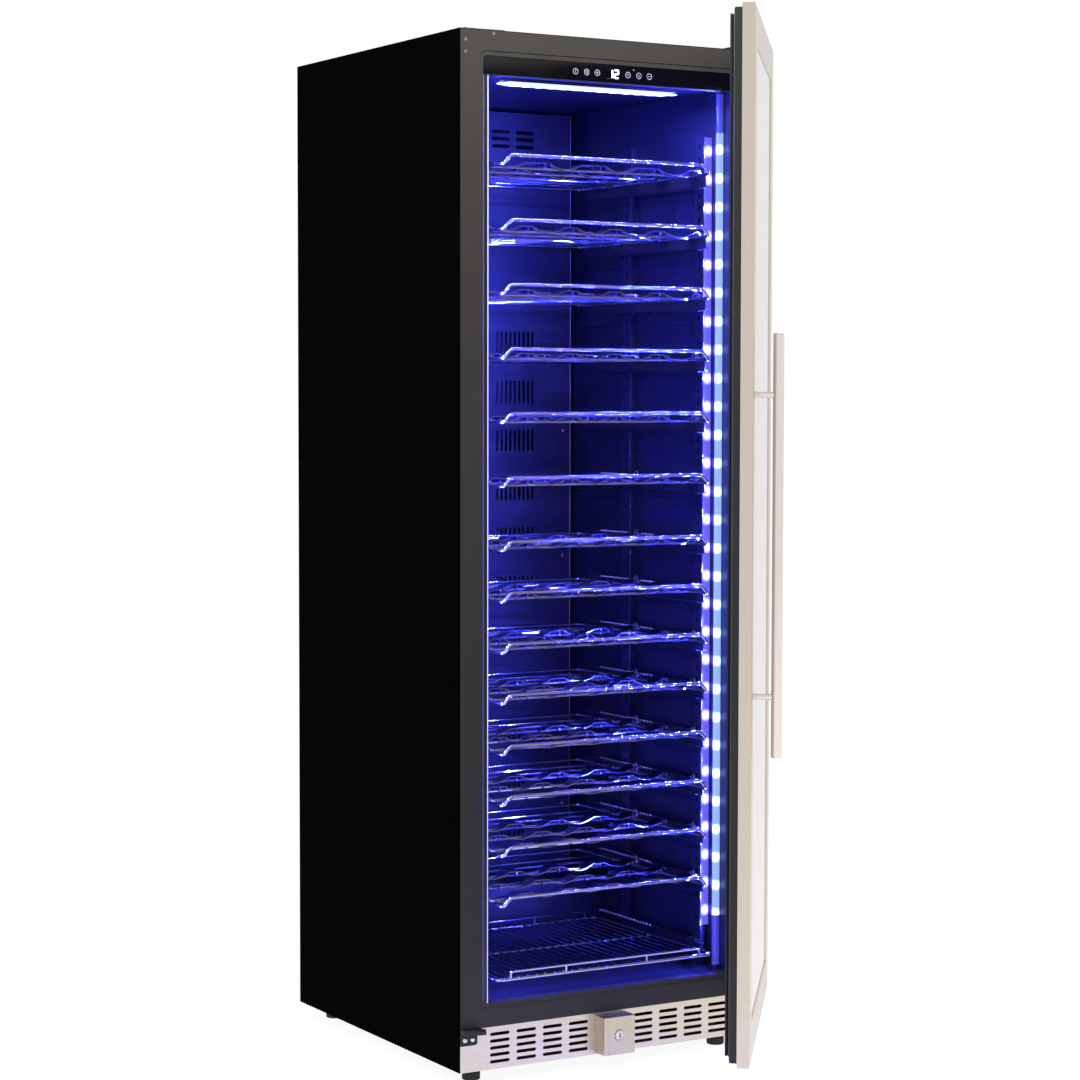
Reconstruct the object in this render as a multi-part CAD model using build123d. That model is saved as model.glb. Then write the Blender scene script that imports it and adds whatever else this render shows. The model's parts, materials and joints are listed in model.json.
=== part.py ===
from build123d import *
import math
import os

# Tall upright wine cooler with a right-hinged glass door standing part open.
# Millimetres, +X to the viewer's right, +Y to the back, +Z up. The origin lies on the
# floor, under the middle of the cabinet.

# Cabinet shell.
CABINET_WIDTH = 595.0
CABINET_DEPTH = 620.0
BODY_TOP = 1757.0
FLOOR_GAP = 25.0
SHEET = 1.0
BASE_SHEET = 2.0

# Front frame and kick plate.
STILE = 45.0
TOP_RAIL = 42.0
BOTTOM_RAIL = 40.0
FRAME_DEPTH = 20.0
FRAME_STEP = 8.0
FRAME_STEP_DEPTH = 1.5
OPENING_RADIUS = 8.0
KICK_HEIGHT = 72.0
KICK_SHEET = 1.5
KICK_SLOT_LENGTH = 38.0
KICK_SLOT_HEIGHT = 5.5
KICK_SLOT_PITCH = 51.5
KICK_ROW_PITCH = 11.7
KICK_ROWS = 5
KICK_COLUMNS = 4
KICK_LOCK_MARGIN = 16.0

# Insulated liner, with a step at the back over the machine space.
LINER_WALL = 2.0
BACK_INSULATION = 45.0
FLOOR_INSULATION = 36.0
STEP_INSULATION = 35.0
CEILING_DROP = 24.0
MACHINE_DEPTH = 165.0
MACHINE_HEIGHT = 185.0

# Door.
DOOR_ANGLE = 52.0
DOOR_CLEARANCE = 0.5
GASKET_DEPTH = 7.0
GASKET_WIDTH = 16.0
GASKET_INSET = 14.0
INNER_FRAME_DEPTH = 12.5
INNER_FRAME_INSET = 6.0
INNER_FRAME_STEP = 4.0
DOOR_BORDER = 58.0
GLASS_REBATE = 12.0
DOOR_LIP = 2.0
GLASS = 4.0
GLASS_GAP = 10.0
SPACER_WIDTH = 9.0
DOOR_END_GAP = 1.0

# Hinges.
HINGE_INSET = 11.0
HINGE_PLATE = 3.0
HINGE_PLATE_WIDTH = 62.0
HINGE_PLATE_DEPTH = 52.0
HINGE_ARM_RADIUS = 10.0
PIN_DIAMETER = 6.0
PIN_ENGAGEMENT = 14.0
PIN_PLAY = 0.05
BUSH_DIAMETER = 9.0
BUSH_LENGTH = 18.0
BRACKET_WIDTH = 46.0
BRACKET_HEIGHT = 38.0
BRACKET_PLATE = 7.0
BRACKET_ARM = 8.0
BRACKET_RISE = 12.0

# Handle.
HANDLE_LENGTH = 660.0
HANDLE_DROP = 10.0
HANDLE_DIAMETER = 17.0
HANDLE_STANDOFF = 37.0
HANDLE_POST_SPACING = 470.0
HANDLE_POST_DIAMETER = 11.0
HANDLE_POST_SEAT = 4.0
HANDLE_EDGE_INSET = 38.0

# Lock in the middle of the kick plate.
LOCK_WIDTH = 62.0
LOCK_HEIGHT = 66.0
LOCK_DEPTH = 28.0
LOCK_WALL = 1.5
LOCK_DROP = 4.0
LOCK_CYLINDER_DIAMETER = 19.0
LOCK_CYLINDER_LENGTH = 13.0
LOCK_CYLINDER_PROUD = 1.5
LOCK_PLAY = 0.1
KEYWAY_WIDTH = 2.4
KEYWAY_LENGTH = 9.0
KEYWAY_DEPTH = 5.0
BOLT_WIDTH = 10.0
BOLT_THICKNESS = 4.0
BOLT_LENGTH = 54.0
BOLT_PROUD = 1.5
BOLT_PLAY = 0.3
BOLT_TRAVEL = 42.0
BOLT_OFFSET = -6.0

# Levelling feet.
FOOT_DIAMETER = 36.0
FOOT_HEIGHT = 14.0
FOOT_STEM = 10.0
FOOT_STEM_LENGTH = 34.0
FOOT_INSET = 48.0
FOOT_BOSS = 19.0
FOOT_BOSS_HEIGHT = 12.0
FOOT_PLAY = 0.08

# Touch control panel, ceiling lamp and light tubes.
PANEL_OVERHANG = 6.0
PANEL_RECESS = 2.0
PANEL_CLEARANCE = 0.5
PANEL_WALL = 2.0
PANEL_DEPTH = 14.0
DISPLAY_WIDTH = 26.0
DISPLAY_HEIGHT = 16.0
LAMP_LENGTH = 356.0
LAMP_SETBACK = 74.0
LAMP_DEPTH = 18.0
LAMP_HEIGHT = 26.0
LAMP_TAPER = 14.0
TUBE_DIAMETER = 13.0
TUBE_BORE = 10.0
TUBE_FLAT = 5.6
TUBE_SETBACK = 45.0
STRIP_WIDTH = 6.0
STRIP_THICKNESS = 1.2
STRIP_CLEARANCE = 0.2

# Shelf pilasters and ball-bearing runners.
PILASTER_PROJECTION = 17.0
PILASTER_WIDTH = 28.0
PILASTER_SHEET = 1.5
PILASTER_SETBACK = 77.0
PILASTER_SPACING = 240.0
PILASTER_END_GAP = 40.0
RUNNER_WIDTH = 13.0
RUNNER_HEIGHT = 28.0
RUNNER_SHEET = 1.5
RUNNER_LIP = 9.0
RUNNER_LENGTH = 330.0
RUNNER_PLAY = 0.4
SLIDE_THICKNESS = 6.0
SLIDE_FRONT_GAP = 40.0

# Bottle shelves.
UPPER_SHELVES = 7
LOWER_SHELVES = 7
UPPER_STEPS = 5
LOWER_STEPS = 4
TOP_SHELF_DROP = 157.0
LOWEST_SHELF_RISE = 150.0
SHELF_SETBACK = 12.0
SHELF_REAR_GAP = 75.0
SHELF_WIRE = 6.0
SHELF_LIFT = 7.0
SHELF_CORNER = 7.0
FRONT_RAIL_RISE = 15.0
FRONT_RAIL_RUN = 16.0
CROSS_WIRE = 4.0
CROSS_WIRES = 2
CRADLE_STRIPS = 2
CRADLE_SETBACK = 46.0
CRADLE_STRIP_PITCH = 96.0
CRADLE_STRIP_WIDTH = 13.0
CRADLE_STRIP_SHEET = 2.0
CRADLE_PEAK = 15.0
CRADLE_VALLEY = 1.0
CRADLE_FLAT = 24.0
CRADLES = 5
TOP_CRADLES = 4

# Flat wire shelf at the bottom.
BOTTOM_SHELF_RISE = 33.0
BOTTOM_SHELF_REAR_GAP = 12.0
BOTTOM_WIRE_PITCH = 27.0
GUARD_RISE = 12.0
GUARD_INSET = 28.0
GUARD_POSTS = 2

# Air duct cover with vents, and the cold side behind it.
DUCT_DEPTH = 47.0
DUCT_SIDE_GAP = 21.0
DUCT_END_GAP = 4.0
DUCT_SHEET = 1.5
VENT_SLOT = 39.0
VENT_SLOT_HEIGHT = 7.0
VENT_COLUMN_PITCH = 52.0
VENT_COLUMNS = 6
VENT_TOP_DROP = 40.0
LOUVRE_OFFSET = 109.0
LOUVRE_WIDTH = 84.0
LOUVRE_HEIGHT = 40.0
LOUVRE_PITCH = 185.0
LOUVRE_DROP = 435.0
LOUVRE_SLOTS = 1
LOUVRE_BAR = 6.0
EVAPORATOR_WIDTH = 340.0
EVAPORATOR_HEIGHT = 300.0
EVAPORATOR_DEPTH = 30.0
EVAPORATOR_CORE = 10.0
EVAPORATOR_DROP = 620.0
FIN_SHEET = 1.6
FINS = 9
FAN_DIAMETER = 110.0
FAN_DEPTH = 14.0
FAN_HUB = 40.0
FAN_BLADES = 5
FAN_BLADE_PITCH = 28.0
FAN_BLADE_SHEET = 2.0
FAN_SHAFT = 5.0
FAN_SHAFT_PLAY = 0.05
FAN_AXIAL_PLAY = 0.5
FAN_MOTOR_DIAMETER = 38.0
FAN_MOTOR_LENGTH = 14.0
FAN_BRACKET_WIDTH = 14.0
FAN_BRACKET_SHEET = 2.0
EVAPORATOR_FAN_DROP = 360.0

# Machine space at the back.
COMPRESSOR_WIDTH = 185.0
COMPRESSOR_DEPTH = 138.0
COMPRESSOR_HEIGHT = 125.0
COMPRESSOR_CORNER = 36.0
COMPRESSOR_BEVEL = 13.0
COMPRESSOR_FOOT = 8.0
MACHINE_FOOT_CLEARANCE = 4.0
TRAY_HEIGHT = 22.0
TRAY_WALL = 1.5
TRAY_MARGIN = 14.0
CONDENSER_WIDTH = 90.0
CONDENSER_DEPTH = 130.0
CONDENSER_HEIGHT = 150.0
CONDENSER_CORE = 30.0
CONDENSER_FINS = 7
CONDENSER_FAN_GAP = 14.0
GRILLE_SLOT_LENGTH = 210.0
GRILLE_SLOT_HEIGHT = 6.0
GRILLE_SLOT_PITCH = 22.0
GRILLE_COLUMNS = 2
GRILLE_MARGIN = 40.0
INLET_WIDTH = 27.0
INLET_HEIGHT = 20.0
INLET_DEPTH = 22.0
INLET_FLANGE = 4.0
INLET_POCKET_WALL = 2.0
INLET_SIDE_GAP = 70.0

# Sides of the polygons that stand for nuts, bent wire and small cans.
NUT_SIDE_COUNT = 6
BUSH_SIDE_COUNT = 8
CAN_SIDE_COUNT = 12

# Planes worked out from the sizes above.
HALF = CABINET_WIDTH / 2
INNER_HALF = HALF - SHEET
OPENING_HALF = HALF - STILE
KICK_TOP = FLOOR_GAP + KICK_HEIGHT
BASE_TOP = FLOOR_GAP + BASE_SHEET
OPENING_BOTTOM = KICK_TOP + BOTTOM_RAIL
OPENING_TOP = BODY_TOP - TOP_RAIL
CEILING = OPENING_TOP - CEILING_DROP
UNDER_TOP = BODY_TOP - SHEET
STEEL_DEPTH = DOOR_LIP + 2 * GLASS + GLASS_GAP
HINGE_SETBACK = DOOR_CLEARANCE + GASKET_DEPTH + INNER_FRAME_DEPTH / 2
DOOR_FACE = DOOR_CLEARANCE + GASKET_DEPTH + INNER_FRAME_DEPTH + STEEL_DEPTH
FRONT = -CABINET_DEPTH / 2
BACK = CABINET_DEPTH / 2
FRAME_BACK = FRONT + FRAME_DEPTH
INSIDE_BACK = BACK - SHEET
LINER_BACK = INSIDE_BACK - BACK_INSULATION - LINER_WALL
MACHINE_FRONT = INSIDE_BACK - MACHINE_DEPTH
MACHINE_TOP = BASE_TOP + MACHINE_HEIGHT
MACHINE_HALF = HALF - FOOT_INSET - FOOT_BOSS / 2 - MACHINE_FOOT_CLEARANCE
MACHINE_MIDDLE = INSIDE_BACK - MACHINE_DEPTH / 2
COMPRESSOR_X = MACHINE_HALF - COMPRESSOR_FOOT - COMPRESSOR_WIDTH / 2
STEP_FRONT = MACHINE_FRONT - STEP_INSULATION - LINER_WALL
STEP_TOP = MACHINE_TOP + STEP_INSULATION + LINER_WALL
HINGE_X = HALF - HINGE_INSET
HINGE_Y = FRONT - HINGE_SETBACK
HINGE_AXIS = Axis((HINGE_X, HINGE_Y, 0), (0, 0, 1))
BRACKET_TOP = KICK_TOP + BRACKET_RISE
DOOR_BOTTOM = BRACKET_TOP + DOOR_END_GAP
DOOR_TOP = BODY_TOP - DOOR_END_GAP
DOOR_MIDDLE = (DOOR_TOP + DOOR_BOTTOM) / 2
DOOR_HEIGHT = DOOR_TOP - DOOR_BOTTOM
HANDLE_MIDDLE = DOOR_MIDDLE - HANDLE_DROP
DOOR_OUTER = FRONT - DOOR_FACE
STEEL_BACK = DOOR_OUTER + STEEL_DEPTH
GASKET_FRONT = STEEL_BACK + INNER_FRAME_DEPTH
LOCK_TOP = KICK_TOP - LOCK_DROP
LOCK_BOTTOM = LOCK_TOP - LOCK_HEIGHT
LOCK_MIDDLE = (LOCK_TOP + LOCK_BOTTOM) / 2
LOCK_FACE = FRONT - LOCK_DEPTH
BOLT_Y = LOCK_FACE + LOCK_CYLINDER_LENGTH + BOLT_THICKNESS / 2
PILASTER_FACE = OPENING_HALF - PILASTER_PROJECTION
SLIDE_FACE = PILASTER_FACE - RUNNER_WIDTH
SHELF_RAIL_X = SLIDE_FACE - SHELF_WIRE / 2
RUNNER_FRONT = FRONT + PILASTER_SETBACK
SHELF_FRONT = FRONT + SHELF_SETBACK
DUCT_FRONT = LINER_BACK - DUCT_DEPTH
SHELF_BACK = DUCT_FRONT - SHELF_REAR_GAP
TOP_SHELF = CEILING - TOP_SHELF_DROP
LOWEST_SHELF = OPENING_BOTTOM + LOWEST_SHELF_RISE
BOTTOM_SHELF = OPENING_BOTTOM + BOTTOM_SHELF_RISE
STEPS = (UPPER_SHELVES - 1) * UPPER_STEPS + LOWER_SHELVES * LOWER_STEPS
SLOT_PITCH = (TOP_SHELF - LOWEST_SHELF) / STEPS


def block(x, y, z):
    """Rectangular solid between a low and a high value on each axis."""
    sizes = [high - low for low, high in (x, y, z)]
    middle = [(high + low) / 2 for low, high in (x, y, z)]
    return Pos(*middle) * Box(*sizes)


def mirrored(solid):
    """The solid's mirror image across the cabinet's middle plane."""
    return mirror(solid, about=Plane.YZ)


def front_slab(outline, y_front, y_back):
    """Front-view outline, drawn in X and Z, made solid between two depths."""
    plane = Plane(origin=(0, y_back, 0), x_dir=(1, 0, 0), z_dir=(0, -1, 0))
    return extrude(plane * outline, amount=y_back - y_front)


def side_slab(outline, x_left, x_right):
    """Side-view outline, drawn in Y and Z, made solid between two widths."""
    plane = Plane(origin=(x_left, 0, 0), x_dir=(0, 1, 0), z_dir=(1, 0, 0))
    return extrude(plane * outline, amount=x_right - x_left)


def plan_slab(outline, z_low, z_high):
    """Top-view outline, drawn in X and Y, made solid between two heights."""
    return extrude(Plane.XY.offset(z_low) * outline, amount=z_high - z_low)


def rod(diameter, start, end):
    """Round rod from one point to another."""
    start, end = Vector(*start), Vector(*end)
    plane = Plane(origin=start, z_dir=end - start)
    return extrude(plane * Circle(diameter / 2), amount=(end - start).length)


def polygon(*points):
    """Closed outline through the points, as a face."""
    return make_face(Polyline(*points, close=True))


def rectangle(x, z):
    """Rectangular outline between two widths and two heights."""
    return Pos((x[0] + x[1]) / 2, (z[0] + z[1]) / 2) * Rectangle(x[1] - x[0], z[1] - z[0])


def door_rectangle(inset):
    """Outline that lies a given distance inside the door's edges."""
    return Pos(0, DOOR_MIDDLE) * Rectangle(CABINET_WIDTH - 2 * inset, DOOR_HEIGHT - 2 * inset)


def opened(solid):
    """A door piece, modelled closed, swung to the angle at which the door stands."""
    return solid.rotate(HINGE_AXIS, DOOR_ANGLE)


def side_panel(left):
    """Painted side sheet from under the top down to the floor gap."""
    panel = block((INNER_HALF, HALF), (FRONT, BACK), (FLOOR_GAP, UNDER_TOP))
    return mirrored(panel) if left else panel


def top_panel():
    """Painted top sheet, over the side sheets."""
    return block((-HALF, HALF), (FRONT, BACK), (UNDER_TOP, BODY_TOP))


def back_panel():
    """Back sheet above the machine space."""
    return block((-INNER_HALF, INNER_HALF), (INSIDE_BACK, BACK), (MACHINE_TOP, UNDER_TOP))


def foot_places():
    """Named floor positions of the four feet."""
    x = HALF - FOOT_INSET
    y_front, y_back = FRONT + FOOT_INSET, BACK - FOOT_INSET
    return {
        "foot_front_left": (-x, y_front),
        "foot_front_right": (x, y_front),
        "foot_rear_left": (-x, y_back),
        "foot_rear_right": (x, y_back),
    }


def base_plate():
    """Bottom plate with a six-sided nut over each foot."""
    plate = block(
        (-INNER_HALF, INNER_HALF), (FRONT + KICK_SHEET, BACK), (FLOOR_GAP, BASE_TOP)
    )
    boss_top = BASE_TOP + FOOT_BOSS_HEIGHT
    nut = RegularPolygon(FOOT_BOSS / 2, NUT_SIDE_COUNT, major_radius=False)
    for x, y in foot_places().values():
        plate += plan_slab(Pos(x, y) * nut, BASE_TOP, boss_top)
        plate -= rod(FOOT_STEM + 2 * FOOT_PLAY, (x, y, FLOOR_GAP), (x, y, boss_top))
    return plate


def levelling_foot(x, y):
    """Foot with a six-sided pad to turn it by and a stem that screws into the base plate."""
    pad = RegularPolygon(FOOT_DIAMETER / 2, NUT_SIDE_COUNT)
    foot = plan_slab(Pos(x, y) * pad, 0, FOOT_HEIGHT)
    return foot + rod(FOOT_STEM, (x, y, FOOT_HEIGHT), (x, y, FOOT_STEM_LENGTH))


def opening_outline(margin):
    """Outline of the cabinet's opening, let out by a margin."""
    width = 2 * (OPENING_HALF + margin)
    height = OPENING_TOP - OPENING_BOTTOM + 2 * margin
    middle = (OPENING_TOP + OPENING_BOTTOM) / 2
    return Pos(0, middle) * RectangleRounded(width, height, OPENING_RADIUS + margin)


def front_frame():
    """Painted frame round the opening, with a shallow step where the gasket seals."""
    outline = rectangle((-INNER_HALF, INNER_HALF), (KICK_TOP, UNDER_TOP))
    frame = front_slab(outline - opening_outline(0), FRONT, FRAME_BACK)
    step = opening_outline(FRAME_STEP) - opening_outline(0)
    return frame - front_slab(step, FRONT, FRONT + FRAME_STEP_DEPTH)


def liner_outline(wall):
    """Side view of the liner's inside, let out by a wall except at the open front."""
    return polygon(
        (FRAME_BACK, OPENING_BOTTOM - wall),
        (STEP_FRONT + wall, OPENING_BOTTOM - wall),
        (STEP_FRONT + wall, STEP_TOP - wall),
        (LINER_BACK + wall, STEP_TOP - wall),
        (LINER_BACK + wall, CEILING + wall),
        (FRAME_BACK, CEILING + wall),
    )


def liner_block(wall):
    """Liner's inside as a solid, let out by a wall."""
    half = OPENING_HALF + wall
    return side_slab(liner_outline(wall), -half, half)


def inner_liner():
    """Liner open at the front, with a step over the machine space."""
    return liner_block(LINER_WALL) - liner_block(0)


def insulation_foam():
    """Foam that fills the space between the liner and the outer sheets."""
    floor = OPENING_BOTTOM - LINER_WALL - FLOOR_INSULATION
    outline = polygon(
        (FRAME_BACK, floor),
        (MACHINE_FRONT, floor),
        (MACHINE_FRONT, MACHINE_TOP),
        (INSIDE_BACK, MACHINE_TOP),
        (INSIDE_BACK, UNDER_TOP),
        (FRAME_BACK, UNDER_TOP),
    )
    return side_slab(outline, -INNER_HALF, INNER_HALF) - liner_block(LINER_WALL)


def kick_plate():
    """Stainless plate under the front frame, slotted on both sides of the lock."""
    outline = rectangle((-INNER_HALF, INNER_HALF), (FLOOR_GAP, KICK_TOP))
    first = LOCK_WIDTH / 2 + KICK_LOCK_MARGIN + KICK_SLOT_LENGTH / 2
    middle = (FLOOR_GAP + KICK_TOP) / 2
    slot = Rectangle(KICK_SLOT_LENGTH, KICK_SLOT_HEIGHT)
    for column in range(KICK_COLUMNS):
        for row in range(KICK_ROWS):
            x = first + column * KICK_SLOT_PITCH
            z = middle + (row - (KICK_ROWS - 1) / 2) * KICK_ROW_PITCH
            outline -= Pos(x, z) * slot
            outline -= Pos(-x, z) * slot
    return front_slab(outline, FRONT, FRONT + KICK_SHEET)


def lock_housing():
    """Folded stainless box round the lock, open at the back."""
    x = LOCK_WIDTH / 2
    inside = x - LOCK_WALL
    box = block((-x, x), (LOCK_FACE, FRONT), (LOCK_BOTTOM, LOCK_TOP))
    box -= block(
        (-inside, inside),
        (LOCK_FACE + LOCK_WALL, FRONT),
        (LOCK_BOTTOM + LOCK_WALL, LOCK_TOP - LOCK_WALL),
    )
    hole = LOCK_CYLINDER_DIAMETER + 2 * LOCK_PLAY
    box -= rod(hole, (0, LOCK_FACE, LOCK_MIDDLE), (0, LOCK_FACE + LOCK_WALL, LOCK_MIDDLE))
    return box - bolt_block(BOLT_PLAY, (LOCK_TOP - LOCK_WALL, LOCK_TOP))


def bolt_block(margin, z):
    """The bolt's cross-section, let out by a margin, between two heights."""
    half = BOLT_WIDTH / 2 + margin
    thick = BOLT_THICKNESS / 2 + margin
    return block((BOLT_OFFSET - half, BOLT_OFFSET + half), (BOLT_Y - thick, BOLT_Y + thick), z)


def lock_bolt():
    """Flat bolt that rises out of the lock's top into the door."""
    top = LOCK_TOP + BOLT_PROUD
    return bolt_block(0, (top - BOLT_LENGTH, top))


def lock_cylinder():
    """Round key cylinder with a keyway in its face."""
    face = LOCK_FACE - LOCK_CYLINDER_PROUD
    end = LOCK_FACE + LOCK_CYLINDER_LENGTH - LOCK_CYLINDER_PROUD
    barrel = rod(LOCK_CYLINDER_DIAMETER, (0, face, LOCK_MIDDLE), (0, end, LOCK_MIDDLE))
    keyway = Pos(0, LOCK_MIDDLE) * Rectangle(KEYWAY_WIDTH, KEYWAY_LENGTH)
    return barrel - front_slab(keyway, face, face + KEYWAY_DEPTH)


def hinge_nose():
    """Corners of a hinge arm's nose round the pin, from the right side to the left."""
    half = HINGE_ARM_RADIUS / 2
    return [
        (HINGE_X + HINGE_ARM_RADIUS, HINGE_Y),
        (HINGE_X + half, HINGE_Y - HINGE_ARM_RADIUS),
        (HINGE_X - half, HINGE_Y - HINGE_ARM_RADIUS),
        (HINGE_X - HINGE_ARM_RADIUS, HINGE_Y),
    ]


def hinge_arm_outline():
    """Top view of a lower hinge arm: a wedge from the kick plate to the pin."""
    return polygon(
        (HALF - SHEET - BRACKET_WIDTH, FRONT),
        (HALF - SHEET, FRONT),
        *hinge_nose(),
        (HALF - SHEET - BRACKET_WIDTH, FRONT - BRACKET_PLATE),
    )


def lower_bracket():
    """Bracket on the kick plate's end, with an arm under the door's corner."""
    plate = block(
        (HALF - SHEET - BRACKET_WIDTH, HALF - SHEET),
        (FRONT - BRACKET_PLATE, FRONT),
        (BRACKET_TOP - BRACKET_HEIGHT, BRACKET_TOP),
    )
    return plate + plan_slab(hinge_arm_outline(), BRACKET_TOP - BRACKET_ARM, BRACKET_TOP)


def lower_hinge():
    """Lower bracket with the pin that carries the door."""
    pin_top = DOOR_BOTTOM + INNER_FRAME_INSET + PIN_ENGAGEMENT
    return lower_bracket() + rod(
        PIN_DIAMETER, (HINGE_X, HINGE_Y, BRACKET_TOP), (HINGE_X, HINGE_Y, pin_top)
    )


def spare_hinge_bracket():
    """The same bracket on the other side, bored for a pin but without one."""
    bore = rod(
        PIN_DIAMETER,
        (HINGE_X, HINGE_Y, BRACKET_TOP - BRACKET_ARM),
        (HINGE_X, HINGE_Y, BRACKET_TOP),
    )
    return mirrored(lower_bracket() - bore)


def upper_hinge():
    """Plate on the cabinet's top with a pin down into the door."""
    outline = polygon(
        (HALF - SHEET - HINGE_PLATE_WIDTH, FRONT + HINGE_PLATE_DEPTH),
        (HALF - SHEET, FRONT + HINGE_PLATE_DEPTH),
        (HALF - SHEET, FRONT),
        *hinge_nose(),
        (HALF - SHEET - HINGE_PLATE_WIDTH, FRONT),
    )
    plate = plan_slab(outline, BODY_TOP, BODY_TOP + HINGE_PLATE)
    pin_end = DOOR_TOP - INNER_FRAME_INSET - PIN_ENGAGEMENT
    return plate + rod(PIN_DIAMETER, (HINGE_X, HINGE_Y, pin_end), (HINGE_X, HINGE_Y, BODY_TOP))


def control_panel():
    """Touch panel housing across the top of the opening, open at the back."""
    half = OPENING_HALF - PANEL_CLEARANCE
    low, high = CEILING - PANEL_OVERHANG, OPENING_TOP - PANEL_CLEARANCE
    face = FRONT + PANEL_RECESS
    outline = rectangle((-half, half), (low, high))
    outline = fillet(outline.vertices().group_by(Axis.Y)[-1], OPENING_RADIUS)
    panel = front_slab(outline, face, face + PANEL_DEPTH)
    inside = half - OPENING_RADIUS
    panel -= block(
        (-inside, inside),
        (face + PANEL_WALL, face + PANEL_DEPTH),
        (low + PANEL_WALL, high - PANEL_WALL),
    )
    return panel - display_block(PANEL_CLEARANCE / 2)


def display_block(margin):
    """The display's outline through the panel's face, let out by a margin."""
    face = FRONT + PANEL_RECESS
    half = DISPLAY_WIDTH / 2 + margin
    middle = (CEILING - PANEL_OVERHANG + OPENING_TOP) / 2
    height = DISPLAY_HEIGHT / 2 + margin
    return block((-half, half), (face, face + PANEL_WALL), (middle - height, middle + height))


def display_window():
    """Display module set in the touch panel's face."""
    return display_block(0)


def top_lamp():
    """Ceiling lamp bar with tapered ends."""
    half = LAMP_LENGTH / 2
    outline = polygon(
        (-half, CEILING),
        (half, CEILING),
        (half, CEILING - LAMP_HEIGHT / 2),
        (half - LAMP_TAPER, CEILING - LAMP_HEIGHT),
        (LAMP_TAPER - half, CEILING - LAMP_HEIGHT),
        (-half, CEILING - LAMP_HEIGHT / 2),
    )
    y = FRONT + LAMP_SETBACK
    return front_slab(outline, y, y + LAMP_DEPTH)


def led_tube():
    """Clear tube up the right wall, flat where it meets the wall."""
    centre = OPENING_HALF - TUBE_FLAT
    y = FRONT + TUBE_SETBACK
    ring = RegularPolygon(TUBE_DIAMETER / 2, CAN_SIDE_COUNT) - RegularPolygon(TUBE_BORE / 2, CAN_SIDE_COUNT)
    beyond = Pos(TUBE_FLAT + TUBE_DIAMETER / 2, 0) * Rectangle(TUBE_DIAMETER, 2 * TUBE_DIAMETER)
    return plan_slab(Pos(centre, y) * (ring - beyond), OPENING_BOTTOM, CEILING)


def led_strip():
    """Light strip inside the right-hand tube, on its wall side."""
    inside = TUBE_BORE / 2 * math.cos(math.pi / CAN_SIDE_COUNT)
    reach = math.sqrt(inside**2 - (STRIP_WIDTH / 2) ** 2) - STRIP_CLEARANCE
    x = OPENING_HALF - TUBE_FLAT + reach
    y = FRONT + TUBE_SETBACK
    return block(
        (x - STRIP_THICKNESS, x),
        (y - STRIP_WIDTH / 2, y + STRIP_WIDTH / 2),
        (OPENING_BOTTOM, CEILING),
    )


def pilaster(y_front):
    """Upright channel on the right wall that carries the runners."""
    inside = PILASTER_SHEET
    channel = block(
        (PILASTER_FACE, OPENING_HALF),
        (y_front, y_front + PILASTER_WIDTH),
        (OPENING_BOTTOM, CEILING - PILASTER_END_GAP),
    )
    return channel - block(
        (PILASTER_FACE + inside, OPENING_HALF),
        (y_front + inside, y_front + PILASTER_WIDTH - inside),
        (OPENING_BOTTOM, CEILING - PILASTER_END_GAP),
    )


def pilasters():
    """Front and rear channels on both side walls."""
    right = [pilaster(RUNNER_FRONT), pilaster(RUNNER_FRONT + PILASTER_SPACING)]
    return right + [mirrored(channel) for channel in right]


def runner(level):
    """Fixed channel of one runner on the right, its mouth towards the shelf."""
    half = RUNNER_HEIGHT / 2
    channel = block(
        (PILASTER_FACE - RUNNER_SHEET - RUNNER_LIP, PILASTER_FACE),
        (RUNNER_FRONT, RUNNER_FRONT + RUNNER_LENGTH),
        (level - half, level + half),
    )
    return channel - block(
        (PILASTER_FACE - RUNNER_SHEET - RUNNER_LIP, PILASTER_FACE - RUNNER_SHEET),
        (RUNNER_FRONT, RUNNER_FRONT + RUNNER_LENGTH),
        (level - half + RUNNER_SHEET, level + half - RUNNER_SHEET),
    )


def shelf_runners():
    """A pair of fixed runners for every shelf."""
    right = [runner(level) for level in shelf_levels() + [BOTTOM_SHELF]]
    return right + [mirrored(channel) for channel in right]


def shelf_levels():
    """Heights of the bottle shelves, from the top down: wide steps, then narrow ones."""
    upper = [TOP_SHELF - step * UPPER_STEPS * SLOT_PITCH for step in range(UPPER_SHELVES)]
    lower = [
        upper[-1] - (step + 1) * LOWER_STEPS * SLOT_PITCH for step in range(LOWER_SHELVES)
    ]
    return upper + lower


def slide_member(y_back):
    """Sliding member on a shelf's right side, running inside the fixed channel."""
    half = RUNNER_HEIGHT / 2 - RUNNER_SHEET - RUNNER_PLAY
    return block(
        (SLIDE_FACE, SLIDE_FACE + SLIDE_THICKNESS),
        (SHELF_FRONT + SLIDE_FRONT_GAP, y_back),
        (-half, half),
    )


def bent_wire(*points):
    """Six-sided wire along straight runs, mitred at each bend."""
    path = Polyline(*points)
    start = Plane(origin=path @ 0, z_dir=path % 0)
    section = RegularPolygon(SHELF_WIRE / 2, NUT_SIDE_COUNT, major_radius=False)
    return sweep(start * section, path=path, transition=Transition.RIGHT)


def shelf_ring(y_back):
    """Flat wire ring round a shelf, with clipped corners."""
    wire = SHELF_WIRE / 2
    width = 2 * (SHELF_RAIL_X + wire)
    depth = y_back - SHELF_FRONT
    middle = (y_back + SHELF_FRONT) / 2
    outer = chamfer(Rectangle(width, depth).vertices(), SHELF_CORNER)
    inner = Rectangle(width - 2 * SHELF_WIRE, depth - 2 * SHELF_WIRE)
    return plan_slab(Pos(0, middle) * (outer - inner), -wire, wire)


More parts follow.
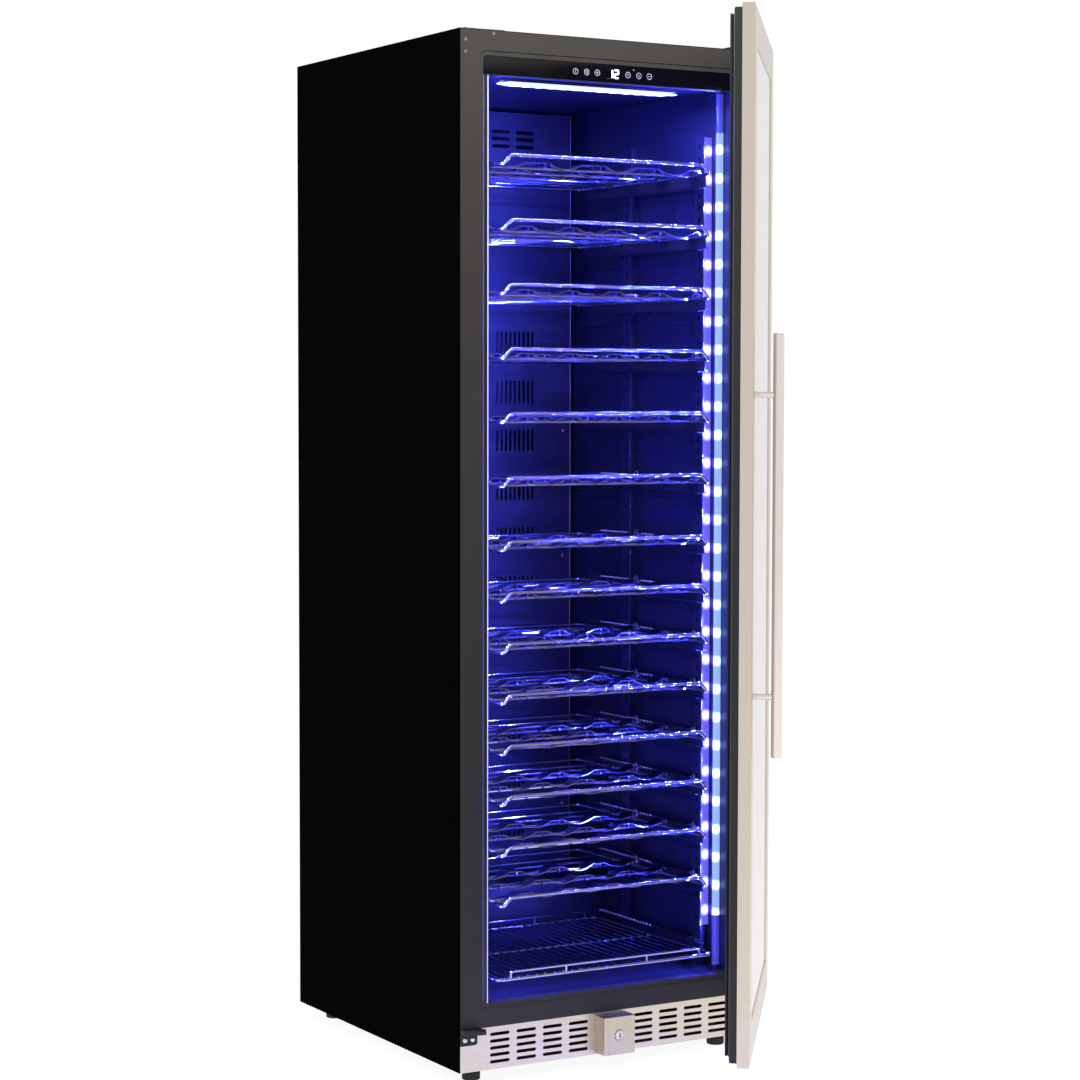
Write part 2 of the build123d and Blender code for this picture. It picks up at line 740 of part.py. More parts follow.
def side_and_back_rails():
    """Wire along a shelf's sides and back, with clipped corners and an open front."""
    outside, inside = SHELF_RAIL_X + SHELF_WIRE / 2, SHELF_RAIL_X - SHELF_WIRE / 2
    clip = SHELF_BACK - SHELF_CORNER
    outline = polygon(
        (-outside, SHELF_FRONT),
        (-outside, clip),
        (SHELF_CORNER - outside, SHELF_BACK),
        (outside - SHELF_CORNER, SHELF_BACK),
        (outside, clip),
        (outside, SHELF_FRONT),
        (inside, SHELF_FRONT),
        (inside, SHELF_BACK - SHELF_WIRE),
        (-inside, SHELF_BACK - SHELF_WIRE),
        (-inside, SHELF_FRONT),
    )
    return plan_slab(outline, -SHELF_WIRE / 2, SHELF_WIRE / 2)


def cradle_strip(y, cradles):
    """Waved flat strip standing on both side rails, with one hollow for each bottle."""
    pitch = 2 * SHELF_RAIL_X / cradles
    hollow = (pitch - CRADLE_FLAT) / 2
    wave = []
    for cradle in range(cradles):
        left = cradle * pitch - SHELF_RAIL_X + hollow
        wave += [(left, CRADLE_VALLEY), (left + CRADLE_FLAT, CRADLE_VALLEY)]
        wave += [(left + CRADLE_FLAT + hollow, CRADLE_PEAK)]
    wave.pop()
    half = CRADLE_STRIP_SHEET / 2
    outside, inside = SHELF_RAIL_X + half, SHELF_RAIL_X - half
    foot, top = SHELF_WIRE / 2, CRADLE_PEAK + half
    inner_top = CRADLE_PEAK - half - half * (CRADLE_PEAK - CRADLE_VALLEY) / hollow
    outline = [(-outside, foot), (-outside, top)]
    outline += [(x, z + half) for x, z in wave]
    outline += [(outside, top), (outside, foot), (inside, foot), (inside, inner_top)]
    outline += [(x, z - half) for x, z in reversed(wave)]
    outline += [(-inside, inner_top), (-inside, foot)]
    return front_slab(polygon(*outline), y, y + CRADLE_STRIP_WIDTH)


def front_rail():
    """Raised front rail, bent down at both ends to stand on the side rails."""
    x = SHELF_RAIL_X
    y = SHELF_FRONT + SHELF_WIRE / 2
    rail = bent_wire(
        (-x, y, 0),
        (FRONT_RAIL_RUN - x, y, FRONT_RAIL_RISE),
        (x - FRONT_RAIL_RUN, y, FRONT_RAIL_RISE),
        (x, y, 0),
    )
    under = (-FRONT_RAIL_RISE, SHELF_WIRE / 2)
    return rail - block((-HALF, HALF), (y - SHELF_WIRE, y + SHELF_WIRE), under)


def cross_wire(y):
    """Straight wire between the side rails."""
    reach = SHELF_RAIL_X - SHELF_WIRE / 2
    half = CROSS_WIRE / 2
    return block((-reach, reach), (y - half, y + half), (-half, half))


def bottle_shelf(cradles):
    """Welded shelf over slides at height zero: rails, strips, and plain wires behind them."""
    pieces = [side_and_back_rails(), front_rail()]
    y = SHELF_FRONT + CRADLE_SETBACK
    for strip in range(CRADLE_STRIPS):
        pieces.append(cradle_strip(y + strip * CRADLE_STRIP_PITCH, cradles))
    last = y + (CRADLE_STRIPS - 1) * CRADLE_STRIP_PITCH + CRADLE_STRIP_WIDTH
    pitch = (SHELF_BACK - last) / (CROSS_WIRES + 1)
    for wire in range(CROSS_WIRES):
        pieces.append(cross_wire(last + (wire + 1) * pitch))
    return [Pos(0, 0, SHELF_LIFT) * piece for piece in pieces]


def with_slides(pieces, y_back):
    """A shelf's pieces with its two sliding members."""
    slide = slide_member(y_back)
    return pieces + [slide, mirrored(slide)]


def bottom_shelf():
    """Flat shelf at height zero: ring, mid wire, wires front to back, and two guards."""
    y_back = STEP_FRONT - BOTTOM_SHELF_REAR_GAP
    x, top = SHELF_RAIL_X, SHELF_WIRE / 2
    under = top - CROSS_WIRE
    middle = Pos(0, 0, under - CROSS_WIRE / 2) * cross_wire((SHELF_FRONT + y_back) / 2)
    pieces = [shelf_ring(y_back), middle]
    count = int(2 * x / BOTTOM_WIRE_PITCH)
    pitch = 2 * x / (count + 1)
    for wire in range(count):
        left = (wire + 1) * pitch - x - CROSS_WIRE / 2
        ends = (SHELF_FRONT + SHELF_WIRE, y_back - SHELF_WIRE)
        pieces.append(block((left, left + CROSS_WIRE), ends, (under, top)))
    for y in (SHELF_FRONT + SHELF_WIRE / 2, y_back - SHELF_WIRE / 2):
        pieces.append(guard_rail(y))
    return pieces


def guard_rail(y):
    """Low guard: a square wire with posts, standing on the shelf's ring."""
    half, foot = CROSS_WIRE / 2, SHELF_WIRE / 2
    reach = SHELF_RAIL_X - GUARD_INSET
    top = GUARD_RISE + half
    rail = block((-reach, reach), (y - half, y + half), (top - CROSS_WIRE, top))
    spans = GUARD_POSTS + 1
    for post in range(spans + 1):
        left = -reach + post * (2 * reach - CROSS_WIRE) / spans
        rail += block((left, left + CROSS_WIRE), (y - half, y + half), (foot, top))
    return rail


def duct_vents():
    """Front view of the duct's vents: rows of slots at the top, louvres below."""
    vents = Sketch()
    for column in range(VENT_COLUMNS):
        x = (column - (VENT_COLUMNS - 1) / 2) * VENT_COLUMN_PITCH
        vents += Pos(x, CEILING - VENT_TOP_DROP) * Rectangle(VENT_SLOT, VENT_SLOT_HEIGHT)
    groups = 1 + int((CEILING - LOUVRE_DROP - STEP_TOP - LOUVRE_HEIGHT) / LOUVRE_PITCH)
    slot_pitch = LOUVRE_WIDTH / LOUVRE_SLOTS
    slot = Rectangle(slot_pitch - LOUVRE_BAR, LOUVRE_HEIGHT)
    for group in range(groups):
        z = CEILING - LOUVRE_DROP - group * LOUVRE_PITCH
        for column in range(LOUVRE_SLOTS):
            x = LOUVRE_OFFSET + (column - (LOUVRE_SLOTS - 1) / 2) * slot_pitch
            vents += Pos(x, z) * slot
            vents += Pos(-x, z) * slot
    return vents


def duct_panel():
    """Shallow cover over the cold side at the back of the liner, open at its back."""
    half = OPENING_HALF - DUCT_SIDE_GAP
    low, high = STEP_TOP + DUCT_END_GAP, CEILING - DUCT_END_GAP
    cover = block((-half, half), (DUCT_FRONT, LINER_BACK), (low, high))
    cover -= block(
        (DUCT_SHEET - half, half - DUCT_SHEET),
        (DUCT_FRONT + DUCT_SHEET, LINER_BACK),
        (low + DUCT_SHEET, high - DUCT_SHEET),
    )
    return cover - front_slab(duct_vents(), DUCT_FRONT, DUCT_FRONT + DUCT_SHEET)


def evaporator():
    """Cold plate with upright fins, against the liner's back."""
    half = EVAPORATOR_WIDTH / 2
    top = CEILING - EVAPORATOR_DROP
    low = top - EVAPORATOR_HEIGHT
    coil = block((-half, half), (LINER_BACK - EVAPORATOR_CORE, LINER_BACK), (low, top))
    pitch = (EVAPORATOR_WIDTH - FIN_SHEET) / (FINS - 1)
    for fin in range(FINS):
        left = -half + fin * pitch
        coil += block(
            (left, left + FIN_SHEET), (LINER_BACK - EVAPORATOR_DEPTH, LINER_BACK), (low, top)
        )
    return coil


def fan_rotor():
    """Fan about the Z axis at the origin: a bored hub with pitched blades."""
    rotor = plan_slab(RegularPolygon(FAN_HUB / 2, CAN_SIDE_COUNT), 0, FAN_DEPTH)
    hub, tip = FAN_HUB / 2, FAN_DIAMETER / 2
    width = FAN_DEPTH / math.sin(math.radians(FAN_BLADE_PITCH)) - 2 * FAN_BLADE_SHEET
    blade = Pos((hub / 2 + tip) / 2, 0, 0) * Box(tip - hub / 2, width, FAN_BLADE_SHEET)
    blade = Pos(0, 0, FAN_DEPTH / 2) * blade.rotate(Axis.X, FAN_BLADE_PITCH)
    for turn in range(FAN_BLADES):
        rotor += blade.rotate(Axis.Z, turn * 360 / FAN_BLADES)
    bore = FAN_SHAFT + 2 * FAN_SHAFT_PLAY
    return rotor - rod(bore, (0, 0, 0), (0, 0, FAN_DEPTH))


def fan_motor(arm):
    """Fan motor behind the rotor, with a shaft and a two-armed bracket of given reach."""
    back = -FAN_AXIAL_PLAY - FAN_MOTOR_LENGTH
    can = RegularPolygon(FAN_MOTOR_DIAMETER / 2, CAN_SIDE_COUNT)
    motor = plan_slab(can, back, -FAN_AXIAL_PLAY)
    motor += rod(FAN_SHAFT, (0, 0, -FAN_AXIAL_PLAY), (0, 0, FAN_DEPTH))
    half = FAN_BRACKET_WIDTH / 2
    return motor + block((-arm, arm), (-half, half), (back, back + FAN_BRACKET_SHEET))


def evaporator_fan_place():
    """Where the cold-side fan sits, its axis towards the front."""
    y = LINER_BACK - FAN_MOTOR_LENGTH - FAN_AXIAL_PLAY
    return Pos(0, y, CEILING - EVAPORATOR_FAN_DROP) * Rot(90, 0, 0)


def condenser_fan_place():
    """Where the condenser's fan sits, its axis across the machine space."""
    x = MACHINE_HALF - CONDENSER_WIDTH - CONDENSER_FAN_GAP - FAN_DEPTH
    return Pos(-x, MACHINE_MIDDLE, BASE_TOP + CONDENSER_HEIGHT / 2) * Rot(0, -90, 0)


def fan_motors():
    """Both fan motors, the second on a post from the base plate."""
    cold = evaporator_fan_place() * fan_motor(FAN_DIAMETER / 2)
    place = condenser_fan_place()
    back = place.position.X + FAN_AXIAL_PLAY + FAN_MOTOR_LENGTH
    warm = place * fan_motor(FAN_DIAMETER / 2)
    half = FAN_BRACKET_WIDTH / 2
    y = place.position.Y
    warm += block(
        (back - FAN_BRACKET_SHEET, back), (y - half, y + half), (BASE_TOP, place.position.Z)
    )
    return [cold, warm]


def compressor():
    """Sealed compressor shell on its foot plate."""
    x, y = COMPRESSOR_X, MACHINE_MIDDLE
    outline = Rectangle(COMPRESSOR_WIDTH, COMPRESSOR_DEPTH)
    outline = chamfer(outline.vertices(), COMPRESSOR_CORNER)
    shell = plan_slab(Pos(x, y) * outline, BASE_TOP, BASE_TOP + COMPRESSOR_HEIGHT)
    shell = chamfer(shell.faces().sort_by(Axis.Z)[-1].edges(), COMPRESSOR_BEVEL)
    feet = Pos(x, y) * Rectangle(COMPRESSOR_WIDTH + 2 * COMPRESSOR_FOOT, COMPRESSOR_DEPTH)
    return shell + plan_slab(feet, BASE_TOP, BASE_TOP + COMPRESSOR_FOOT)


def drip_tray():
    """Open tray on the compressor that takes the defrost water."""
    x, y = COMPRESSOR_X, MACHINE_MIDDLE
    low = BASE_TOP + COMPRESSOR_HEIGHT
    width, depth = COMPRESSOR_WIDTH - 2 * TRAY_MARGIN, COMPRESSOR_DEPTH - 2 * TRAY_MARGIN
    tray = plan_slab(Pos(x, y) * Rectangle(width, depth), low, low + TRAY_HEIGHT)
    inside = Pos(x, y) * Rectangle(width - 2 * TRAY_WALL, depth - 2 * TRAY_WALL)
    return tray - plan_slab(inside, low + TRAY_WALL, low + TRAY_HEIGHT)


def condenser():
    """Finned warm coil standing on the base plate."""
    left = -MACHINE_HALF
    depth = (MACHINE_MIDDLE - CONDENSER_DEPTH / 2, MACHINE_MIDDLE + CONDENSER_DEPTH / 2)
    core = left + (CONDENSER_WIDTH - CONDENSER_CORE) / 2
    coil = block((core, core + CONDENSER_CORE), depth, (BASE_TOP, BASE_TOP + CONDENSER_HEIGHT))
    pitch = (CONDENSER_HEIGHT - FIN_SHEET) / (CONDENSER_FINS - 1)
    for fin in range(CONDENSER_FINS):
        z = BASE_TOP + fin * pitch
        coil += block((left, left + CONDENSER_WIDTH), depth, (z, z + FIN_SHEET))
    return coil


def inlet_place():
    """Lower corner of the mains inlet on the machine space's grille."""
    return INNER_HALF - INLET_SIDE_GAP - INLET_WIDTH, MACHINE_TOP - GRILLE_MARGIN / 2 - INLET_HEIGHT


def rear_grille():
    """Slotted sheet over the machine space, with a cut-out for the mains inlet."""
    outline = rectangle((-INNER_HALF, INNER_HALF), (BASE_TOP, MACHINE_TOP))
    x, z = inlet_place()
    outline -= rectangle((x, x + INLET_WIDTH), (z, z + INLET_HEIGHT))
    top = z - GRILLE_SLOT_PITCH / 2
    rows = int((top - BASE_TOP - GRILLE_MARGIN / 2) / GRILLE_SLOT_PITCH)
    pitch = 2 * (INNER_HALF - GRILLE_MARGIN) / GRILLE_COLUMNS
    for column in range(GRILLE_COLUMNS):
        for row in range(rows):
            x = (column - (GRILLE_COLUMNS - 1) / 2) * pitch
            slot = Rectangle(GRILLE_SLOT_LENGTH, GRILLE_SLOT_HEIGHT)
            outline -= Pos(x, top - (row + 0.5) * GRILLE_SLOT_PITCH) * slot
    return front_slab(outline, INSIDE_BACK, BACK)


def mains_inlet():
    """Recessed mains inlet with a flange inside the grille; its lead is detachable."""
    x, z = inlet_place()
    body = block((x, x + INLET_WIDTH), (BACK - INLET_DEPTH, BACK), (z, z + INLET_HEIGHT))
    body += block(
        (x - INLET_FLANGE, x + INLET_WIDTH + INLET_FLANGE),
        (INSIDE_BACK - INLET_POCKET_WALL, INSIDE_BACK),
        (z - INLET_FLANGE, z + INLET_HEIGHT + INLET_FLANGE),
    )
    wall = INLET_POCKET_WALL
    return body - block(
        (x + wall, x + INLET_WIDTH - wall),
        (BACK - INLET_DEPTH + wall, BACK),
        (z + wall, z + INLET_HEIGHT - wall),
    )


def door_frame():
    """Brushed stainless door frame, rebated from behind for the glass."""
    frame = front_slab(door_rectangle(0) - door_rectangle(DOOR_BORDER), DOOR_OUTER, STEEL_BACK)
    rebate = door_rectangle(DOOR_BORDER - GLASS_REBATE)
    return frame - front_slab(rebate, DOOR_OUTER + DOOR_LIP, STEEL_BACK)


def door_glass(y_front):
    """One pane of the door's glass, in the frame's rebate."""
    return front_slab(door_rectangle(DOOR_BORDER - GLASS_REBATE), y_front, y_front + GLASS)


def glass_spacer():
    """Spacer bar round the edge of the two panes."""
    inset = DOOR_BORDER - GLASS_REBATE
    ring = door_rectangle(inset) - door_rectangle(inset + SPACER_WIDTH)
    y = DOOR_OUTER + DOOR_LIP + GLASS
    return front_slab(ring, y, y + GLASS_GAP)


def door_inner_frame():
    """Black inner frame behind the glass, stepped at its edge, bored for both hinge pins."""
    window = door_rectangle(DOOR_BORDER)
    step = STEEL_BACK + INNER_FRAME_DEPTH / 2
    frame = front_slab(door_rectangle(INNER_FRAME_INSET) - window, STEEL_BACK, GASKET_FRONT)
    lip = door_rectangle(INNER_FRAME_INSET) - door_rectangle(INNER_FRAME_INSET + INNER_FRAME_STEP)
    hinge_land = rectangle((HALF - 2 * HINGE_INSET, HALF), (DOOR_BOTTOM, DOOR_TOP))
    frame -= front_slab(lip - hinge_land, step, GASKET_FRONT)
    for z_low, z_high in bush_spans():
        frame -= plan_slab(bush_outline(), z_low, z_high)
    pocket_top = LOCK_TOP + BOLT_PROUD + BOLT_TRAVEL + 2 * BOLT_PLAY
    return frame - bolt_block(2 * BOLT_PLAY, (DOOR_BOTTOM, pocket_top))


def bush_spans():
    """Heights that the lower and upper hinge bushes fill in the inner frame."""
    low = DOOR_BOTTOM + INNER_FRAME_INSET
    high = DOOR_TOP - INNER_FRAME_INSET
    return [(low, low + BUSH_LENGTH), (high - BUSH_LENGTH, high)]


def bush_outline():
    """Eight-sided outline of a hinge bush, which keeps it from turning in the door."""
    return Pos(HINGE_X, HINGE_Y) * RegularPolygon(BUSH_DIAMETER / 2, BUSH_SIDE_COUNT)


def hinge_bushes():
    """Two plastic bushes in the door that turn on the hinge pins."""
    bore = PIN_DIAMETER + 2 * PIN_PLAY
    bushes = []
    for z_low, z_high in bush_spans():
        bush = plan_slab(bush_outline(), z_low, z_high)
        bushes.append(bush - rod(bore, (HINGE_X, HINGE_Y, z_low), (HINGE_X, HINGE_Y, z_high)))
    return bushes


def door_gasket():
    """Magnetic seal round the inner frame's back."""
    ring = door_rectangle(GASKET_INSET) - door_rectangle(GASKET_INSET + GASKET_WIDTH)
    return front_slab(ring, GASKET_FRONT, GASKET_FRONT + GASKET_DEPTH)


def handle_post_heights():
    """Heights of the two handle posts."""
    return [HANDLE_MIDDLE - HANDLE_POST_SPACING / 2, HANDLE_MIDDLE + HANDLE_POST_SPACING / 2]


def handle_posts():
    """Two round posts from the door's face into the handle."""
    x = HANDLE_EDGE_INSET - HALF
    return [
        rod(HANDLE_POST_DIAMETER, (x, handle_seat(), z), (x, DOOR_OUTER, z))
        for z in handle_post_heights()
    ]


def handle_seat():
    """Depth at which the posts end inside the handle."""
    return DOOR_OUTER - HANDLE_STANDOFF + HANDLE_DIAMETER / 2 - HANDLE_POST_SEAT


def handle_bar():
    """Upright round handle with a flat seat milled for each post."""
    x = HANDLE_EDGE_INSET - HALF
    y = DOOR_OUTER - HANDLE_STANDOFF
    half = HANDLE_LENGTH / 2
    bar = rod(HANDLE_DIAMETER, (x, y, HANDLE_MIDDLE - half), (x, y, HANDLE_MIDDLE + half))
    radius = HANDLE_DIAMETER / 2
    seat = HANDLE_POST_DIAMETER / 2
    for z in handle_post_heights():
        bar -= block((x - radius, x + radius), (handle_seat(), y + radius), (z - seat, z + seat))
    return bar


def closed_door():
    """The door's pieces as they lie when the door is shut."""
    outer_pane = DOOR_OUTER + DOOR_LIP
    return {
        "door_frame": door_frame(),
        "outer_glass": door_glass(outer_pane),
        "glass_spacer": glass_spacer(),
        "inner_glass": door_glass(outer_pane + GLASS + GLASS_GAP),
        "door_inner_frame": door_inner_frame(),
        "door_gasket": door_gasket(),
        "hinge_bushes": hinge_bushes(),
        "handle_posts": handle_posts(),
        "handle_bar": handle_bar(),
    }


def cabinet():
    """The cabinet's fixed pieces and its feet and lock."""
    tube, strip = led_tube(), led_strip()
    pieces = {
        "left_side_panel": side_panel(left=True),
        "right_side_panel": side_panel(left=False),
        "top_panel": top_panel(),
        "back_panel": back_panel(),
        "base_plate": base_plate(),
        "front_frame": front_frame(),
        "inner_liner": inner_liner(),
        "insulation_foam": insulation_foam(),
        "kick_plate": kick_plate(),
        "lock_housing": lock_housing(),
        "lock_cylinder": lock_cylinder(),
        "lock_bolt": lock_bolt(),
        "spare_hinge_bracket": spare_hinge_bracket(),
        "lower_hinge": lower_hinge(),
        "upper_hinge": upper_hinge(),
        "control_panel": control_panel(),
        "display_window": display_window(),
        "top_lamp": top_lamp(),
        "led_tubes": [tube, mirrored(tube)],
        "led_strips": [strip, mirrored(strip)],
        "pilasters": pilasters(),
        "shelf_runners": shelf_runners(),
    }
    for name, (x, y) in foot_places().items():
        pieces[name] = levelling_foot(x, y)
    return pieces


def cooling():
    """Duct cover, cold side and machine space."""
    return {
        "duct_panel": duct_panel(),
        "evaporator": evaporator(),
        "evaporator_fan": evaporator_fan_place() * fan_rotor(),
        "condenser_fan": condenser_fan_place() * fan_rotor(),
        "fan_motors": fan_motors(),
        "compressor": compressor(),
        "drip_tray": drip_tray(),
        "condenser": condenser(),
        "rear_grille": rear_grille(),
        "mains_inlet": mains_inlet(),
    }


def shelves():
    """Every shelf at its height, with its sliding members."""
    top = with_slides(bottle_shelf(TOP_CRADLES), SHELF_BACK)
    plain = with_slides(bottle_shelf(CRADLES), SHELF_BACK)
    flat = with_slides(bottom_shelf(), STEP_FRONT - BOTTOM_SHELF_REAR_GAP)
    pieces = {}
    for number, level in enumerate(shelf_levels(), start=1):
        solids = top if number == 1 else plain
        pieces[f"shelf_{number:02d}"] = [Pos(0, 0, level) * solid for solid in solids]
    pieces["bottom_shelf"] = [Pos(0, 0, BOTTOM_SHELF) * solid for solid in flat]
    return pieces


def single_solids(piece):
    """The separate solids of a piece or of a group of pieces."""
    group = piece if isinstance(piece, list) else [piece]
    return [solid for member in group for solid in member.solids()]


def main():
    """Write one STEP file for each node."""
    os.makedirs("parts", exist_ok=True)
    pieces = {**cabinet(), **cooling(), **shelves()}
    for name, piece in closed_door().items():
        pieces[name] = [opened(solid) for solid in single_solids(piece)]
    for name, piece in pieces.items():
        solids = single_solids(piece)
        shape = solids[0] if len(solids) == 1 else Compound(children=solids)
        export_step(shape, f"parts/{name}.step")


main()
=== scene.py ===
import json
import logging
import math
from dataclasses import dataclass
from enum import Enum
from functools import cache
from itertools import product
from typing import Any, Optional, Sequence

import bmesh
import bpy
from mathutils import Matrix, Vector


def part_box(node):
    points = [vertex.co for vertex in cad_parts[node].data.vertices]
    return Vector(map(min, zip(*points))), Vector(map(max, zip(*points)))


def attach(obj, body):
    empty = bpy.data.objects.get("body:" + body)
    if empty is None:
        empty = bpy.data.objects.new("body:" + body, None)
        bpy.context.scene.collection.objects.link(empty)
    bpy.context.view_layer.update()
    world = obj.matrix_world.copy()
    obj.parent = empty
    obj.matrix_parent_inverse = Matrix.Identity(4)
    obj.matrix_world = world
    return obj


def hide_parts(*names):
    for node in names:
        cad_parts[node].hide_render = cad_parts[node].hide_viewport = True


# A tall wine cooler with a lit interior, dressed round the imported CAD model.
# Sizes are in millimetres and become metres through MM.

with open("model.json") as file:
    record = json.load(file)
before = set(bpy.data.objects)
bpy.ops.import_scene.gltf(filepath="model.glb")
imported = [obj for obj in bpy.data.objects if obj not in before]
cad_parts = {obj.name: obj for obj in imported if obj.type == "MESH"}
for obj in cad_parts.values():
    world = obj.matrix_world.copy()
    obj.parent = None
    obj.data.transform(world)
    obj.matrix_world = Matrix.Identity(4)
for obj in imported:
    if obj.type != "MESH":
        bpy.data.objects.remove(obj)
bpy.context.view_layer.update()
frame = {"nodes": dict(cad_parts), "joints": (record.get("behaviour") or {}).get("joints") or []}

MM = 0.001
LOG = logging.getLogger("wine_cooler")

# Left and right, along X.
SIDES = (-1, 1)
BACKWARD = Vector((0, 1, 0))
# Turns that set a shape drawn in XY upright, facing the front or the back.
TO_FRONT = Matrix.Rotation(math.pi / 2, 4, "X")
TO_BACK = Matrix.Rotation(-math.pi / 2, 4, "X")
# The turn for a shape drawn in XY whose x then runs to the back and y up.
TO_SIDE = Matrix(((0, 0, 1, 0), (1, 0, 0, 0), (0, 1, 0, 0), (0, 0, 0, 1)))
# Faces of a built piece, and of a CAD node, that meet at more than this have an edge.
SHARP, NODE_SHARP = math.radians(38), math.radians(40)
# Most of a noise lies between these values.
NOISE_LOW, NOISE_HIGH = 0.3, 0.7
# Lengths below this count as none.
TINY = 1e-6
# Width of a band of Blender's wave texture at a scale of 1.
WAVE_BAND = math.pi / 10

Outline = Sequence[tuple[float, float]]
Path = Sequence[Vector]
Mesh = bpy.types.Mesh
Tree = bpy.types.NodeTree
Node = bpy.types.Node
Socket = bpy.types.NodeSocket


class Body(str, Enum):
    """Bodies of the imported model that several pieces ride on."""

    CABINET = "cabinet"
    DOOR = "door"


class Run(Enum):
    """Direction of a brushed grain or a row of diodes, as the stretch of a noise along x, y and z."""

    ACROSS = (0.012, 1.0, 1.0)
    UPRIGHT = (1.0, 1.0, 0.012)


# Nodes


def add_node(tree: Tree, kind: str, inputs: Optional[dict] = None, **settings: Any) -> Node:
    """Adds a node with its settings, input values and links.

    Args:
        tree: Tree that gets the node.
        kind: Blender's type name of the node.
        inputs: Values, sockets or lists of sockets, by input name or number.
        settings: The node's own properties.

    Returns:
        The new node.
    """
    node = tree.nodes.new(kind)
    for key, value in settings.items():
        setattr(node, key, value)
    for key, value in (inputs or {}).items():
        for source in value if isinstance(value, list) else [value]:
            if isinstance(source, Socket):
                tree.links.new(source, node.inputs[key])
            else:
                node.inputs[key].default_value = source
    return node


def linear(code: str) -> tuple[float, float, float, float]:
    """Turns an sRGB hex colour into linear red, green, blue and alpha."""
    shares = [int(code[k : k + 2], 16) / 255 for k in (1, 3, 5)]
    light = [c / 12.92 if c <= 0.04045 else ((c + 0.055) / 1.055) ** 2.4 for c in shares]
    return (light[0], light[1], light[2], 1.0)


# Finishes


@dataclass(frozen=True)
class Finish:
    """A surface finish: its colour and gloss, and the mottle that handling leaves on it.

    The mottle is that many times as coarse as the grain.
    """

    name: str
    colour: str
    roughness: float
    metallic: float = 0.0
    specular: float = 0.5
    shade: str = ""
    grain_mm: float = 1.0
    depth_mm: float = 0.02
    spread: float = 0.06
    mottle: float = 70.0
    bump: float = 0.6

    def material(self) -> bpy.types.Material:
        """Returns the finish's material, which is made on first use."""
        known = bpy.data.materials.get(self.name)
        if known:
            return known
        made = bpy.data.materials.new(self.name)
        made.use_nodes = True
        shader = made.node_tree.nodes["Principled BSDF"]
        shader.inputs["Base Color"].default_value = linear(self.colour)
        shader.inputs["Roughness"].default_value = self.roughness
        shader.inputs["Metallic"].default_value = self.metallic
        if not self.metallic:
            shader.inputs["Specular IOR Level"].default_value = self.specular
        self.pattern(made.node_tree, shader)
        return made

    def noise(
        self, tree: Tree, size_mm: float, stretch: Sequence[float] = (1, 1, 1), turn: float = 0
    ) -> Socket:
        """Adds noise on Object coordinates.

        Args:
            tree: The material's tree.
            size_mm: Size of the noise's features.
            stretch: Share of the noise's frequency along x, y and z.
            turn: Angle about Z, in radians, that the noise is turned by.

        Returns:
            The socket with the noise, from 0 to 1.
        """
        place = add_node(tree, "ShaderNodeTexCoord").outputs["Object"]
        for setting in ({"Rotation": (0, 0, -turn)}, {"Scale": stretch}):
            place = add_node(tree, "ShaderNodeMapping", {"Vector": place, **setting}).outputs["Vector"]
        sizes = {"Vector": place, "Scale": 1 / (size_mm * MM), "Detail": 3.0}
        return add_node(tree, "ShaderNodeTexNoise", sizes).outputs["Fac"]

    def wear(self, tree: Tree, shader: Node, fine: Socket, broad: Socket) -> None:
        """Links a fine noise to the bump, and a broad one to gloss and colour.

        Args:
            tree: The material's tree.
            shader: Its Principled shader.
            fine: Socket with the grain.
            broad: Socket with the mottle.
        """
        heights = {"Height": fine, "Distance": self.depth_mm * MM, "Strength": self.bump}
        bump = add_node(tree, "ShaderNodeBump", heights)
        tree.links.new(bump.outputs["Normal"], shader.inputs["Normal"])
        ends = {
            "Value": broad,
            "From Min": NOISE_LOW,
            "From Max": NOISE_HIGH,
            "To Min": max(0.0, self.roughness - self.spread),
            "To Max": min(1.0, self.roughness + self.spread),
        }
        gloss = add_node(tree, "ShaderNodeMapRange", ends)
        tree.links.new(gloss.outputs["Result"], shader.inputs["Roughness"])
        if self.shade:
            colours = {"Factor": broad, 6: linear(self.colour), 7: linear(self.shade)}
            blend = add_node(tree, "ShaderNodeMix", colours, data_type="RGBA")
            tree.links.new(blend.outputs[2], shader.inputs["Base Color"])

    def pattern(self, tree: Tree, shader: Node) -> None:
        """Adds the grain of the surface and the broad mottle of handling."""
        fine, broad = (self.noise(tree, share * self.grain_mm) for share in (1, self.mottle))
        self.wear(tree, shader, fine, broad)


@dataclass(frozen=True)
class BrushedSteel(Finish):
    """Stainless sheet brushed one way, with long fine scratches that stretch its highlights."""

    run: Run = Run.UPRIGHT
    turn: float = 0.0

    def pattern(self, tree: Tree, shader: Node) -> None:
        """Adds the scratches to colour, gloss and bump."""
        scratch = self.noise(tree, self.grain_mm, self.run.value, self.turn)
        self.wear(tree, shader, scratch, scratch)


@dataclass(frozen=True)
class SpangledZinc(Finish):
    """Hot-dip galvanised sheet, whose zinc froze in crystals of slightly different greys."""

    def pattern(self, tree: Tree, shader: Node) -> None:
        """Adds the crystals to colour and gloss."""
        place = add_node(tree, "ShaderNodeTexCoord").outputs["Object"]
        sizes = {"Vector": place, "Scale": 1 / (self.grain_mm * MM)}
        cells = add_node(tree, "ShaderNodeTexVoronoi", sizes)
        shade = add_node(tree, "ShaderNodeSeparateColor", {"Color": cells.outputs["Color"]})
        self.wear(tree, shader, cells.outputs["Distance"], shade.outputs["Red"])


